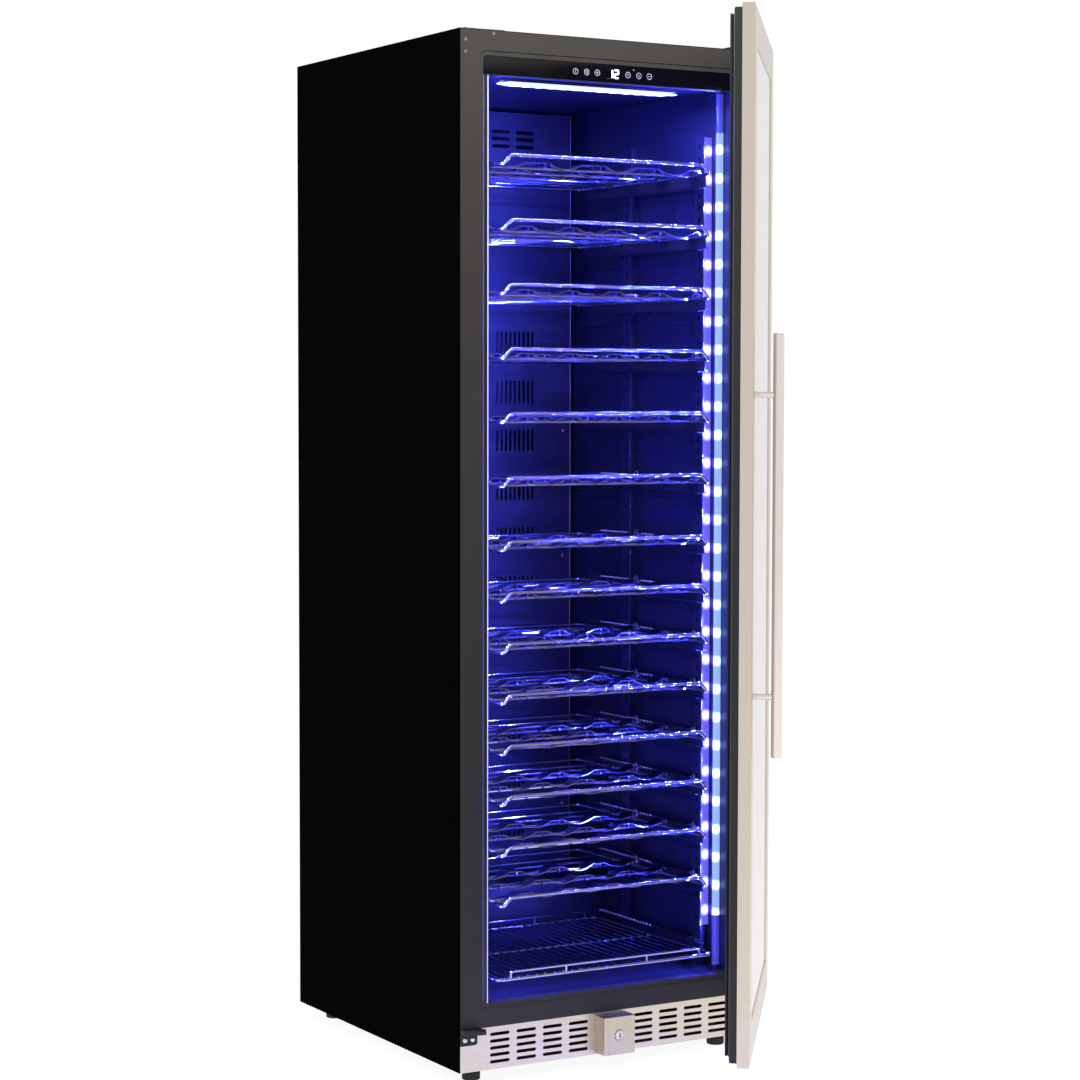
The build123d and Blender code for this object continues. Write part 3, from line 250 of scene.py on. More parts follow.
@dataclass(frozen=True)
class FinPack(Finish):
    """Aluminium fins pressed on tubes, with light and dark bands at one pitch: painted highlight on the fins'
    edges and painted shade between them.
    """

    def pattern(self, tree: Tree, shader: Node) -> None:
        """Adds bands across X at the fins' pitch, to bump and gloss, and to colour as painted highlight and
        painted shade.
        """
        place = add_node(tree, "ShaderNodeTexCoord").outputs["Object"]
        sizes = {"Vector": place, "Scale": WAVE_BAND / (self.grain_mm * MM)}
        bands = add_node(tree, "ShaderNodeTexWave", sizes, bands_direction="X").outputs["Fac"]
        self.wear(tree, shader, bands, bands)


@dataclass(frozen=True)
class FloatGlass(Finish):
    """Float glass tinted a light bronze, with wiped smears."""

    ior: float = 1.5
    # Values of the noise where a smear begins and where it is full.
    smear: tuple[float, float] = (0.5, 0.8)

    def pattern(self, tree: Tree, shader: Node) -> None:
        """Lets light through and adds the smears to the gloss."""
        shader.inputs["Transmission Weight"].default_value = 1.0
        shader.inputs["IOR"].default_value = self.ior
        ends = {"From Min": self.smear[0], "From Max": self.smear[1], "To Min": 0.0, "To Max": self.spread}
        gloss = add_node(tree, "ShaderNodeMapRange", {"Value": self.noise(tree, self.grain_mm), **ends})
        tree.links.new(gloss.outputs["Result"], shader.inputs["Roughness"])


@dataclass(frozen=True)
class Glow(Finish):
    """A lit surface that is brightest at evenly spaced diodes behind it.

    The spots lie along Z, or along X, from first_mm at pitch_mm, with middle_mm as their place
    on the next axis on either side of the origin. A pitch of 0 lights it evenly.
    """

    mottle: float = 20.0
    light: str = "#ffffff"
    strength: float = 1.0
    between: float = 1.0
    first_mm: float = 0.0
    pitch_mm: float = 0.0
    spot_mm: float = 12.0
    core: float = 0.3
    middle_mm: float = 0.0
    run: Run = Run.UPRIGHT

    def pattern(self, tree: Tree, shader: Node) -> None:
        """Adds the light, and the moulding's fine grain."""
        shader.inputs["Emission Color"].default_value = linear(self.light)
        shader.inputs["Emission Strength"].default_value = self.strength
        super().pattern(tree, shader)
        if self.pitch_mm:
            self.add_spots(tree, shader)

    def add_spots(self, tree: Tree, shader: Node) -> None:
        """Makes the light fall off round each diode."""
        place = add_node(tree, "ShaderNodeTexCoord").outputs["Object"]
        axes = add_node(tree, "ShaderNodeSeparateXYZ", {"Vector": place}).outputs
        along, beside = ("Z", "X") if self.run is Run.UPRIGHT else ("X", "Y")
        half = self.pitch_mm / 2
        ends = {"From Min": (self.first_mm - half) * MM, "From Max": (self.first_mm + half) * MM}
        steps = add_node(tree, "ShaderNodeMapRange", {"Value": axes[along], **ends}, clamp=False)
        sums = {
            "Y": (steps.outputs["Result"], ("FRACT", 0), ("SUBTRACT", 0.5), ("MULTIPLY", self.pitch_mm * MM)),
            "X": (axes[beside], ("ABSOLUTE", 0), ("SUBTRACT", self.middle_mm * MM)),
        }
        reach = add_node(tree, "ShaderNodeCombineXYZ")
        for axis, (value, *operations) in sums.items():
            for operation, other in operations:
                value = add_node(tree, "ShaderNodeMath", {0: value, 1: other}, operation=operation).outputs[0]
            tree.links.new(value, reach.inputs[axis])
        away = add_node(tree, "ShaderNodeVectorMath", {0: reach.outputs["Vector"]}, operation="LENGTH")
        fall = {
            "Value": away.outputs["Value"],
            "From Min": self.core * self.spot_mm * MM,
            "From Max": self.spot_mm * MM,
            "To Min": self.strength,
            "To Max": self.between,
        }
        spots = add_node(tree, "ShaderNodeMapRange", fall, interpolation_type="SMOOTHSTEP")
        tree.links.new(spots.outputs["Result"], shader.inputs["Emission Strength"])


# Powder-coated sheet: deep matt black with the faint orange peel of melted powder.
SIDE_PAINT = Finish(
    "powder_coated_steel_black", "#020202", 0.7, specular=0.004, shade="#040404", grain_mm=1.8
)
# Satin baked enamel on the front frame: charcoal, smoother than the powder coat.
FRAME_PAINT = Finish("baked_enamel_charcoal", "#292826", 0.5, specular=0.25, shade="#2f2e2c", grain_mm=1.6)
# Cast and painted hinge iron: black with a coarse skin.
HINGE_PAINT = Finish("painted_iron_black", "#0d0d0e", 0.45, specular=0.4, shade="#161617", grain_mm=1.2)
# Vacuum-formed polystyrene liner: black with a soft gloss that carries the blue light.
LINER = Finish(
    "vacuum_formed_polystyrene_black", "#171722", 0.34, specular=0.4, shade="#1c1c2a", grain_mm=2.4
)
# Polyurethane foam between liner and sheets, with open cells.
FOAM = Finish("polyurethane_foam", "#c9b98a", 0.9, shade="#b8a676", grain_mm=2.0, depth_mm=0.4)
# Galvanised sheet of the back, base and grille.
ZINC = SpangledZinc("galvanised_steel", "#8e9296", 0.42, 1.0, shade="#a8acb0", grain_mm=7.0, spread=0.1)
# Stainless sheet brushed upright on the door stiles. The scratches are drawn at 0.6 mm, coarser
# than real ones, so that they show.
STEEL_UP = BrushedSteel(
    "brushed_stainless_upright", "#d6ccc0", 0.3, 1.0, shade="#c6bbae", grain_mm=0.6, spread=0.1
)
# The same sheet brushed across the kick plate; its beige tint is partly a painted warm reflection of the
# floor.
STEEL_ACROSS = BrushedSteel(
    "brushed_stainless_across", "#d8cfbe", 0.34, 1.0, shade="#c8bda9", grain_mm=0.6, spread=0.1,
    run=Run.ACROSS,
)
# The lock's box: brushed stainless, tinted warmer and yellower than the plate as a painted warm reflection of
# the floor.
LOCK_STEEL = BrushedSteel(
    "brushed_stainless_lock", "#c9bea4", 0.3, 1.0, shade="#bab098", grain_mm=0.6, spread=0.1
)
# The handle's tube, brushed finer and brighter than the sheet.
HANDLE_STEEL = BrushedSteel(
    "brushed_stainless_tube", "#ebe3dc", 0.26, 1.0, shade="#d6ccc3", grain_mm=0.5, spread=0.08
)
# Nickel-plated lock parts: bright and slightly warm.
NICKEL = Finish("nickel_plated_brass", "#d9d4cc", 0.2, 1.0, shade="#c6c0b6", grain_mm=0.8, depth_mm=0.005)
# Chromed wire: mirror bright, with slight waves from drawing. Its lavender base colour is a painted
# reflection of the blue interior light.
CHROME = Finish(
    "chromed_steel_wire", "#c4c6ee", 0.12, 1.0, shade="#b2b5e6", grain_mm=5.0, depth_mm=0.03, spread=0.05
)
# Chrome on the pressed wave strips, a little less smooth than on the wire, with the same lavender painted
# reflection of the blue light.
STRIP = Finish("chromed_pressed_strip", "#a4a6da", 0.17, 1.0, shade="#8e90c8", grain_mm=3.0, depth_mm=0.01)
# Electrocoated slide steel: thin black film with a soft gloss.
SLIDE_STEEL = Finish(
    "electrocoated_slide_steel", "#0e0e14", 0.32, specular=0.4, shade="#14141b", grain_mm=1.5
)
# Balls of the runners: plain white, a painted glint standing in for the highlights on steel balls.
BALL_PAINTED_GLINT = Finish("runner_ball_painted_glint", "#f2f2f6", 0.3, shade="#e8e8f0", grain_mm=0.5, depth_mm=0.002)
# Painted steel of the pilasters: near the liner's black, with a harder gloss.
PILASTER_STEEL = Finish(
    "painted_pilaster_steel", "#161724", 0.3, shade="#1b1c2c", grain_mm=2.0, depth_mm=0.004
)
# Printed acrylic of the touch panel: black, as smooth as glass.
PANEL_GLOSS = Finish(
    "printed_acrylic_black", "#030304", 0.14, specular=0.4, shade="#050507", grain_mm=3.0, depth_mm=0.004
)
# White ink lit from behind the touch panel.
PANEL_INK = Glow("backlit_white_ink", "#9a9cab", 0.5, light="#c4c8e6", strength=0.2)
# Seven-segment display behind the panel.
DISPLAY_LIGHT = Glow("display_light", "#ffffff", 0.4, light="#eef2ff", strength=2.2)
# Opal diffuser of the ceiling lamp.
LAMP_LIGHT = Glow(
    "lit_opal_acrylic", "#30387a", 0.4, light="#c4ccff", strength=14.0, between=1.6,
    pitch_mm=25.0, spot_mm=9.0, middle_mm=227.0, run=Run.ACROSS,
)
# Clear tube over a diode strip: bright spots at the diodes and a blue glow between them.
TUBE_LIGHT = Glow(
    "lit_clear_tube", "#20285a", 0.25, light="#90b0f7", strength=5.5, between=1.05,
    first_mm=237.0, pitch_mm=50.0, spot_mm=11.5, middle_mm=243.6,
)
# The tube's ends beyond the diodes, with only the glow that runs along the plastic.
TUBE_GLOW = Glow("clear_tube_end", "#20285a", 0.2, light="#5858ee", strength=0.45)
# Flat diffuser over the diodes on the pilasters.
DIFFUSER_LIGHT = Glow(
    "lit_diffuser_strip", "#161a44", 0.3, light="#6660fb", strength=10.0, between=1.0,
    first_mm=237.0, pitch_mm=50.0, spot_mm=13.0, middle_mm=244.0,
)
# Glowing bead at the left jamb, white at its tip and violet at its root: a painted highlight for the bright
# lines along the jamb, not a lamp.
BEAD_TIP_HIGHLIGHT = Glow("bead_tip_painted_highlight", "#aab4ff", 0.2, light="#a9b6ff", strength=1.2)
BEAD_ROOT_HIGHLIGHT = Glow("bead_root_painted_highlight", "#40389a", 0.2, light="#6a5cd8", strength=0.3)
# Diode strip: white solder mask.
STRIP_WHITE = Glow("diode_strip_white", "#e6e8f2", 0.5, light="#8c9cff", strength=0.6)
# Folded aluminium fins; their lighter and darker bands are painted highlight and painted shade.
FINS = FinPack("folded_aluminium_fins", "#b4b8bc", 0.36, 1.0, shade="#74787c", grain_mm=3.0, depth_mm=0.6)
# Anodised spacer bar between the panes.
SPACER = Finish(
    "anodised_aluminium_spacer", "#8d9094", 0.35, 1.0, shade="#7c8084", grain_mm=0.8, depth_mm=0.01
)
# Moulded ABS of inner frame, fans and inlet: black with a spark-eroded grain.
ABS_BLACK = Finish("moulded_abs_black", "#141416", 0.46, specular=0.4, shade="#1b1b1e", grain_mm=0.7)
# Pale grey of the edge trims on the door's inner frame; the same pale strips on the duct cover's edges are a
# painted highlight.
PALE_TRIM_AND_DUCT_HIGHLIGHT = Finish("pale_trim_and_painted_highlight", "#8b8680", 0.4, specular=0.4, shade="#7d7872", grain_mm=0.9)
# The cap over the spare hinge holes: pale grey and slightly glossy.
COVER_GREY = Finish("moulded_polystyrene_pale", "#8e8d90", 0.4, shade="#848387", grain_mm=0.8)
# Natural grey tray plastic.
TRAY_GREY = Finish("moulded_polypropylene_grey", "#55585c", 0.5, shade="#4a4d52", grain_mm=1.0)
# Soft PVC of the gasket: matt, with a slight bloom.
RUBBER = Finish("soft_pvc_black", "#19191b", 0.62, specular=0.3, shade="#232326", grain_mm=0.9, depth_mm=0.03)
# Stove enamel on the compressor shell.
ENAMEL = Finish("stove_enamel_black", "#101113", 0.3, shade="#17181b", grain_mm=2.5)
# Drawn copper of the cooling pipes, dulled by handling.
COPPER = Finish("drawn_copper", "#b3704a", 0.32, 1.0, shade="#8d5335", grain_mm=1.2, depth_mm=0.01)
# Panes of the door, with smears the width of a wiping cloth's fold.
GLASS = FloatGlass("bronze_tinted_float_glass", "#c9c0b8", 0.0, grain_mm=60.0, spread=0.03)


# Geometry Nodes


def open_tree(name: str, inputs: dict[str, str]) -> tuple[Tree, Any]:
    """Starts a Geometry Nodes tree.

    Args:
        name: Name of the tree.
        inputs: Type of each named input.

    Returns:
        The tree and the outputs of its group input node.
    """
    tree = bpy.data.node_groups.new(name, "GeometryNodeTree")
    for label, kind in {"Geometry": "Geometry", **inputs, "Material": "Material"}.items():
        tree.interface.new_socket(label, in_out="INPUT", socket_type=f"NodeSocket{kind}")
    tree.interface.new_socket("Geometry", in_out="OUTPUT", socket_type="NodeSocketGeometry")
    return tree, add_node(tree, "NodeGroupInput").outputs


def close_tree(tree: Tree, given: Any, made: Socket) -> Tree:
    """Ends a tree: instances become real and take the material.

    Args:
        tree: The tree.
        given: Outputs of its group input node.
        made: Socket with the geometry.

    Returns:
        The tree.
    """
    real = add_node(tree, "GeometryNodeRealizeInstances", {"Geometry": made}).outputs["Geometry"]
    dressed = add_node(tree, "GeometryNodeSetMaterial", {"Geometry": real, "Material": given["Material"]})
    add_node(tree, "NodeGroupOutput", {"Geometry": dressed.outputs["Geometry"]})
    return tree


@cache
def wire_tree() -> Tree:
    """Returns the tree that turns the edges of a mesh into round wires."""
    tree, given = open_tree("round_wires", {"Radius": "Float", "Sides": "Int"})
    paths = add_node(tree, "GeometryNodeMeshToCurve", {"Mesh": given["Geometry"]}).outputs["Curve"]
    sizes = {"Resolution": given["Sides"], "Radius": given["Radius"]}
    section = add_node(tree, "GeometryNodeCurvePrimitiveCircle", sizes, mode="RADIUS").outputs["Curve"]
    parts = {"Curve": paths, "Profile Curve": section, "Fill Caps": True}
    return close_tree(tree, given, add_node(tree, "GeometryNodeCurveToMesh", parts).outputs["Mesh"])


@cache
def scatter_tree() -> Tree:
    """Returns the tree that sets one small shape at every point of a mesh."""
    tree, given = open_tree("set_at_points", {"Shape": "Object"})
    shape = add_node(tree, "GeometryNodeObjectInfo", {"Object": given["Shape"]}).outputs["Geometry"]
    parts = {"Points": given["Geometry"], "Instance": shape}
    return close_tree(tree, given, add_node(tree, "GeometryNodeInstanceOnPoints", parts).outputs["Instances"])


@cache
def slotted_tree() -> Tree:
    """Returns the tree for a flat sheet with round-ended slots at a mesh's points.

    Points whose attribute other_slot is true get the second slot.
    """
    labels = ("Width", "Height", "Slot Width", "Slot Height", "Other Width", "Other Height", "Thickness")
    tree, given = open_tree("slotted_sheet", {label: "Float" for label in labels})
    other = add_node(tree, "GeometryNodeInputNamedAttribute", {"Name": "other_slot"}, data_type="BOOLEAN")
    other = other.outputs["Attribute"]
    usual = add_node(tree, "FunctionNodeBooleanMath", {0: other}, operation="NOT").outputs[0]
    loops = []
    for label, chosen in (("", None), ("Slot ", usual), ("Other ", other)):
        sizes = {side: given[label + side] for side in ("Width", "Height")}
        loop = add_node(tree, "GeometryNodeCurvePrimitiveQuadrilateral", sizes, mode="RECTANGLE")
        loop = loop.outputs["Curve"]
        if chosen:
            # The radius is limited to half of the slot, which makes its ends round.
            ends = {"Curve": loop, "Count": 4, "Radius": 1.0, "Limit Radius": True}
            rounded = add_node(tree, "GeometryNodeFilletCurve", ends, mode="POLY").outputs["Curve"]
            parts = {"Points": given["Geometry"], "Selection": chosen, "Instance": rounded}
            copies = add_node(tree, "GeometryNodeInstanceOnPoints", parts).outputs["Instances"]
            loop = add_node(tree, "GeometryNodeRealizeInstances", {"Geometry": copies}).outputs["Geometry"]
        loops.append(loop)
    drawn = add_node(tree, "GeometryNodeJoinGeometry", {"Geometry": loops}).outputs["Geometry"]
    face = add_node(tree, "GeometryNodeFillCurve", {"Curve": drawn}).outputs["Mesh"]
    rise = {"Mesh": face, "Offset Scale": given["Thickness"], "Individual": False}
    raised = add_node(tree, "GeometryNodeExtrudeMesh", rise, mode="FACES").outputs["Mesh"]
    under = add_node(tree, "GeometryNodeFlipFaces", {"Mesh": face}).outputs["Mesh"]
    both = add_node(tree, "GeometryNodeJoinGeometry", {"Geometry": [raised, under]}).outputs["Geometry"]
    closed = add_node(tree, "GeometryNodeMergeByDistance", {"Geometry": both, "Distance": 0.01 * MM})
    return close_tree(tree, given, closed.outputs["Geometry"])


def bake(mesh: Mesh, tree: Tree, inputs: dict[str, Any]) -> Mesh:
    """Runs a tree on a mesh once.

    Args:
        mesh: Mesh that the tree starts from, which is used up.
        tree: The tree.
        inputs: Values of its named inputs.

    Returns:
        The plain mesh that comes out.
    """
    base = bpy.data.objects.new("base", mesh)
    bpy.context.scene.collection.objects.link(base)
    modifier = base.modifiers.new(tree.name, "NODES")
    modifier.node_group = tree
    for item in tree.interface.items_tree:
        if item.in_out == "INPUT" and item.name in inputs:
            modifier[item.identifier] = inputs[item.name]
    graph = bpy.context.evaluated_depsgraph_get()
    made = bpy.data.meshes.new_from_object(base.evaluated_get(graph), depsgraph=graph)
    bpy.data.objects.remove(base)
    bpy.data.meshes.remove(mesh)
    return made


@dataclass
class SlottedSheet:
    """A flat sheet with rows of round-ended slots, in millimetres about its middle."""

    width: float
    height: float
    thickness: float
    slots: Outline
    slot: tuple[float, float]
    others: Outline = ()
    other: tuple[float, float] = (1.0, 1.0)

    def mesh(self, finish: Finish) -> Mesh:
        """Returns the sheet's mesh, lying in XY with its thickness along +Z."""
        mesh = bpy.data.meshes.new("slots")
        mesh.from_pydata([mm(x, y, 0) for x, y in (*self.slots, *self.others)], [], [])
        flags = mesh.attributes.new("other_slot", "BOOLEAN", "POINT")
        for k in range(len(self.slots), len(mesh.vertices)):
            flags.data[k].value = True
        sizes = {
            "Width": self.width, "Height": self.height, "Thickness": self.thickness,
            "Slot Width": self.slot[0], "Slot Height": self.slot[1],
            "Other Width": self.other[0], "Other Height": self.other[1],
        }
        inputs = {label: size * MM for label, size in sizes.items()}
        return bake(mesh, slotted_tree(), {**inputs, "Material": finish.material()})


# Shapes


def mm(x: float, y: float, z: float) -> Vector:
    """Returns a point in metres from millimetres."""
    return Vector((x, y, z)) * MM


def at(x: float, y: float, z: float) -> Matrix:
    """Returns the shift to a place in millimetres."""
    return Matrix.Translation(mm(x, y, z))


def node_box(node: str) -> tuple[Vector, Vector]:
    """Returns a CAD node's lowest and highest corners in millimetres."""
    low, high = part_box(node)
    return low / MM, high / MM


def node_points(node: str) -> list[Vector]:
    """Returns a CAD node's points in millimetres."""
    return [v.co / MM for v in frame["nodes"][node].data.vertices]


def inner_x(node: str) -> float:
    """Returns how near the right half of a CAD node comes to the middle, in millimetres."""
    return min(p.x for p in node_points(node) if p.x > 0)


def rectangle(width: float, height: float) -> list[tuple[float, float]]:
    """Returns the corners of a rectangle about the origin."""
    x, y = width / 2, height / 2
    return [(-x, -y), (x, -y), (x, y), (-x, y)]


def centred(count: int, pitch: float) -> list[float]:
    """Returns places at one pitch about 0."""
    return [(k - (count - 1) / 2) * pitch for k in range(count)]


def spread(start: float, end: float, count: int) -> list[float]:
    """Returns evenly spaced places from a start to an end."""
    return [start + k * (end - start) / (count - 1) for k in range(count)]


def arc(middle: tuple[float, float], radius: float, start: float, end: float, steps: int) -> list:
    """Returns points on an arc, with its angles in degrees."""
    angles = [math.radians(start + (end - start) * k / steps) for k in range(steps + 1)]
    return [(middle[0] + radius * math.cos(a), middle[1] + radius * math.sin(a)) for a in angles]


def bent(points: Path, radius: float, closed: bool = False, steps: int = 6) -> list[Vector]:
    """Rounds the corners of a path.

    Args:
        points: Corners in metres.
        radius: Length of straight that each bend takes up, in millimetres.
        closed: Whether the path returns to its start.
        steps: Points along each bend.

    Returns:
        The path's points. A closed path ends at its start.
    """
    path: list[Vector] = []
    count = len(points)
    longest = 0.48  # Share of a straight that one bend may take up.
    for k, corner in enumerate(points):
        if not closed and k in (0, count - 1):
            path.append(corner.copy())
            continue
        arms = [points[k - 1] - corner, points[(k + 1) % count] - corner]
        reach = min(radius * MM, *(longest * arm.length for arm in arms))
        enter, leave = (corner + arm.normalized() * reach for arm in arms)
        for t in (step / steps for step in range(steps + 1)):
            path.append(enter * (1 - t) ** 2 + corner * 2 * t * (1 - t) + leave * t**2)
    if closed:
        path.append(path[0].copy())
    return path


class Shape:
    """A mesh in the making, with one material slot for each finish on it."""

    def __init__(self) -> None:
        """Starts an empty shape."""
        self.bm = bmesh.new()
        self.finishes: list[Finish] = []

    def index(self, finish: Finish) -> int:
        """Returns the finish's material slot, added where it is new."""
        if finish not in self.finishes:
            self.finishes.append(finish)
        return self.finishes.index(finish)

    def faces(self, points: Path, faces: Sequence[Sequence[int]], finish: Finish) -> None:
        """Adds faces from points and their numbers."""
        slot = self.index(finish)
        corners = [self.bm.verts.new(p) for p in points]
        for face in faces:
            made = self.bm.faces.new([corners[k] for k in face])
            made.material_index = slot
            made.smooth = True

    def graft(self, mesh: Mesh, finish: Finish, place: Optional[Matrix] = None) -> None:
        """Adds a mesh, which is used up.

        Args:
            mesh: The mesh.
            finish: Its finish.
            place: Where it goes.
        """
        if place:
            mesh.transform(place)
        slot = self.index(finish)
        known = len(self.bm.faces)
        self.bm.from_mesh(mesh)
        self.bm.faces.ensure_lookup_table()
        for face in self.bm.faces[known:]:
            face.material_index = slot
            face.smooth = True
        bpy.data.meshes.remove(mesh)

    def wires(self, paths: Sequence[Path], diameter: float, finish: Finish, sides: int = 10) -> None:
        """Adds round wires.

        Args:
            paths: Points of each wire, in metres. A path that ends at its start is closed.
            diameter: Thickness in millimetres.
            finish: Their finish.
            sides: Sides of the round section.
        """
        points: list[Vector] = []
        edges: list[tuple[int, int]] = []
        for path in paths:
            closed = (path[0] - path[-1]).length < TINY
            first = len(points)
            points += path[:-1] if closed else path
            edges += [(k, k + 1) for k in range(first, len(points) - 1)]
            if closed:
                edges.append((len(points) - 1, first))
        mesh = bpy.data.meshes.new("paths")
        mesh.from_pydata(points, edges, [])
        sizes = {"Radius": diameter / 2 * MM, "Sides": sides, "Material": finish.material()}
        self.graft(bake(mesh, wire_tree(), sizes), finish)

    def scatter(self, small: "Shape", places: Path, finish: Finish) -> None:
        """Adds a copy of a small shape at every place.

        Args:
            small: The shape, about the origin.
            places: Places in metres.
            finish: Finish of the copies.
        """
        source = bpy.data.objects.new("source", small.mesh("source"))
        bpy.context.scene.collection.objects.link(source)
        mesh = bpy.data.meshes.new("points")
        mesh.from_pydata(places, [], [])
        self.graft(bake(mesh, scatter_tree(), {"Shape": source, "Material": finish.material()}), finish)
        bpy.data.objects.remove(source)

    def box(self, low: Vector, high: Vector, finish: Finish, edge: float = 0.6) -> None:
        """Adds a block with rounded edges.

        Args:
            low: Lowest corner in metres.
            high: Highest corner in metres.
            finish: Its finish.
            edge: Radius of its edges in millimetres, 0 for none.
        """
        part = bmesh.new()
        bmesh.ops.create_cube(part, size=1.0)
        size = high - low
        for corner in part.verts:
            corner.co = low + Vector(s * (c + 0.5) for s, c in zip(size, corner.co))
        if edge:
            # A rounding takes up less than half of the thinnest side.
            reach = min(edge * MM, 0.4 * min(size))
            bmesh.ops.bevel(part, geom=part.edges[:], offset=reach, segments=2, profile=0.5, affect="EDGES")
        mesh = bpy.data.meshes.new("block")
        part.to_mesh(mesh)
        part.free()
        self.graft(mesh, finish)

    def prism(self, outline: Outline, depth: float, place: Matrix, finish: Finish, edge: float = 0) -> None:
        """Adds an outline pushed along its own +Z.

        Args:
            outline: Points in millimetres.
            depth: Thickness in millimetres.
            place: Where the outline's plane lies.
            finish: Its finish.
            edge: Radius of its end edges in millimetres.
        """
        levels = [(0.0, 0.0), (depth, 0.0)]
        if edge:
            levels = [(0.0, edge), (edge, 0.0), (depth - edge, 0.0), (depth, edge)]
        middle = Vector(sum(c) / len(outline) for c in zip(*outline))
        rings = []
        for height, inset in levels:
            arms = [Vector(point) - middle for point in outline]
            corners = [middle + arm - arm.normalized() * inset for arm in arms]
            rings.append([place @ mm(corner.x, corner.y, height) for corner in corners])
        self.loft(rings, finish)

    def loft(self, rings: Sequence[Path], finish: Finish) -> None:
        """Adds a closed skin over rings of equal numbers of points, in metres."""
        count = len(rings[0])
        points = [point for ring in rings for point in ring]
        faces = [list(range(count))[::-1], list(range(len(points) - count, len(points)))]
        for first, k in product(range(0, len(points) - count, count), range(count)):
            a, b = first + k, first + (k + 1) % count
            faces.append([a, b, b + count, a + count])
        self.faces(points, faces, finish)

    def lathe(self, profile: Outline, place: Matrix, finish: Finish, sides: int = 32) -> None:
        """Adds a turned shape.

        Args:
            profile: Radius and height, in millimetres, from the foot's axis to the head's.
            place: Where the axis lies.
            finish: Its finish.
            sides: Sides round the axis.
        """
        points: list[Vector] = []
        rings: list[list[int]] = []
        for radius, height in profile:
            first = len(points)
            ring = arc((0, 0), radius, 0, 360, sides)[:-1] if radius > TINY else [(0, 0)]
            points += [place @ mm(x, y, height) for x, y in ring]
            rings.append(list(range(first, len(points))))
        faces = []
        for (lower, upper), k in product(list(zip(rings, rings[1:])), range(sides)):
            low = [lower[k % len(lower)], lower[(k + 1) % len(lower)]]
            top = [upper[(k + 1) % len(upper)], upper[k % len(upper)]]
            face = list(dict.fromkeys(low + top))
            if len(face) > 2:
                faces.append(face)
        self.faces(points, faces, finish)

    def sweep(self, profile: Outline, path: Path, finish: Finish, closed: bool) -> None:
        """Adds a section pushed along a path in an upright plane, mitred at its corners.

        Args:
            profile: Section in millimetres, as distance to the path's right and to the back.
            path: Points in metres, with the same y.
            finish: Its finish.
            closed: Whether the path returns to its start.
        """
        count, sides = len(path), len(profile)
        points: list[Vector] = []
        for k, point in enumerate(path):
            before = path[k - 1] if closed or k else point
            after = path[(k + 1) % count] if closed or k + 1 < count else point
            enter = (point - before).normalized() if point != before else (after - point).normalized()
            leave = (after - point).normalized() if after != point else enter
            mitre = math.sqrt((1 + enter.dot(leave)) / 2)
            right = (enter + leave).normalized().cross(BACKWARD).normalized() / mitre
            points += [point + right * (x * MM) + BACKWARD * (y * MM) for x, y in profile]
        faces = []
        for k, side in product(range(count if closed else count - 1), range(sides)):
            here, there = k * sides, ((k + 1) % count) * sides
            after = (side + 1) % sides
            faces.append([here + side, here + after, there + after, there + side])
        if not closed:
            faces += [list(range(sides))[::-1], list(range((count - 1) * sides, count * sides))]
        self.faces(points, faces, finish)

    def mesh(self, name: str) -> Mesh:
        """Ends the shape and returns it as a mesh."""
        bmesh.ops.recalc_face_normals(self.bm, faces=self.bm.faces[:])
        made = bpy.data.meshes.new(name)
        self.bm.to_mesh(made)
        self.bm.free()
        for finish in self.finishes:
            made.materials.append(finish.material())
        made.set_sharp_from_angle(angle=SHARP)
        return made

    def piece(
        self,
        name: str,
        slot: str,
        nodes: Sequence[str] = (),
        body: str = Body.CABINET.value,
        turn: Optional[Matrix] = None,
    ) -> None:
        """Ends the shape as a piece that rides on a body.

        Args:
            name: The piece's name.
            slot: Material slot of the record; not used.
            nodes: CAD nodes that it stands for.
            body: Body that it rides on.
            turn: Movement from where it was built to where it rests.
        """
        mesh = self.mesh(name)
        if turn:
            mesh.transform(turn)
        made = bpy.data.objects.new(name, mesh)
        bpy.context.scene.collection.objects.link(made)
        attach(made, body)
        if nodes:
            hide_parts(*nodes)
        LOG.info("%s on %s", name, body)


def dress(finish: Finish, *nodes: str, edge: float = 0.0) -> None:
    """Gives CAD nodes their finish and softens their edges.

    Args:
        finish: Their finish.
        nodes: The nodes.
        edge: Radius of their edges in millimetres, 0 for none.
    """
    for node in nodes:
        made = frame["nodes"][node]
        made.data.materials.clear()
        made.data.materials.append(finish.material())
        if edge:
            made.modifiers.new("merge", "WELD").merge_threshold = 0.001 * MM
            rounding = made.modifiers.new("edges", "BEVEL")
            rounding.width = edge * MM
            rounding.segments = 2
            rounding.limit_method = "ANGLE"
            rounding.angle_limit = NODE_SHARP
            rounding.harden_normals = True
        LOG.info("%s dressed in %s", node, finish.name)


def ball(diameter: float, finish: Finish) -> Shape:
    """Makes a small ball with few faces."""
    shape = Shape()
    radius = diameter / 2
    profile = [(radius * math.sin(a), -radius * math.cos(a)) for a in (0, 0.8, 1.57, 2.35, math.pi)]
    shape.lathe(profile, Matrix.Identity(4), finish, 8)
    return shape


@dataclass(frozen=True)
class ScrewHead:
    """A domed screw head with a cross or a single slot, whose sizes are shares of its own."""

    diameter: float
    height: float
    finish: Finish
    slotted: bool = False
    dome: tuple[float, ...] = (0.0, 0.5, 0.95, 1.3)
    slot: tuple[float, float] = (0.6, 0.16)
    slot_base: float = 0.93
    slot_height: float = 0.12
    sides: int = 14

    def shape(self, turn: Matrix) -> Shape:
        """Returns the head about the origin, turned from facing up."""
        shape = Shape()
        dome = [(self.diameter / 2 * math.cos(a), self.height * math.sin(a)) for a in self.dome]
        shape.lathe([(0, 0), *dome, (0, self.height)], turn, self.finish, self.sides)
        long, wide = (share * self.diameter for share in self.slot)
        base = turn @ at(0, 0, self.slot_base * self.height)
        for size in ((long, wide),) if self.slotted else ((long, wide), (wide, long)):
            shape.prism(rectangle(*size), self.slot_height * self.height, base, self.finish)
        return shape


# Cabinet


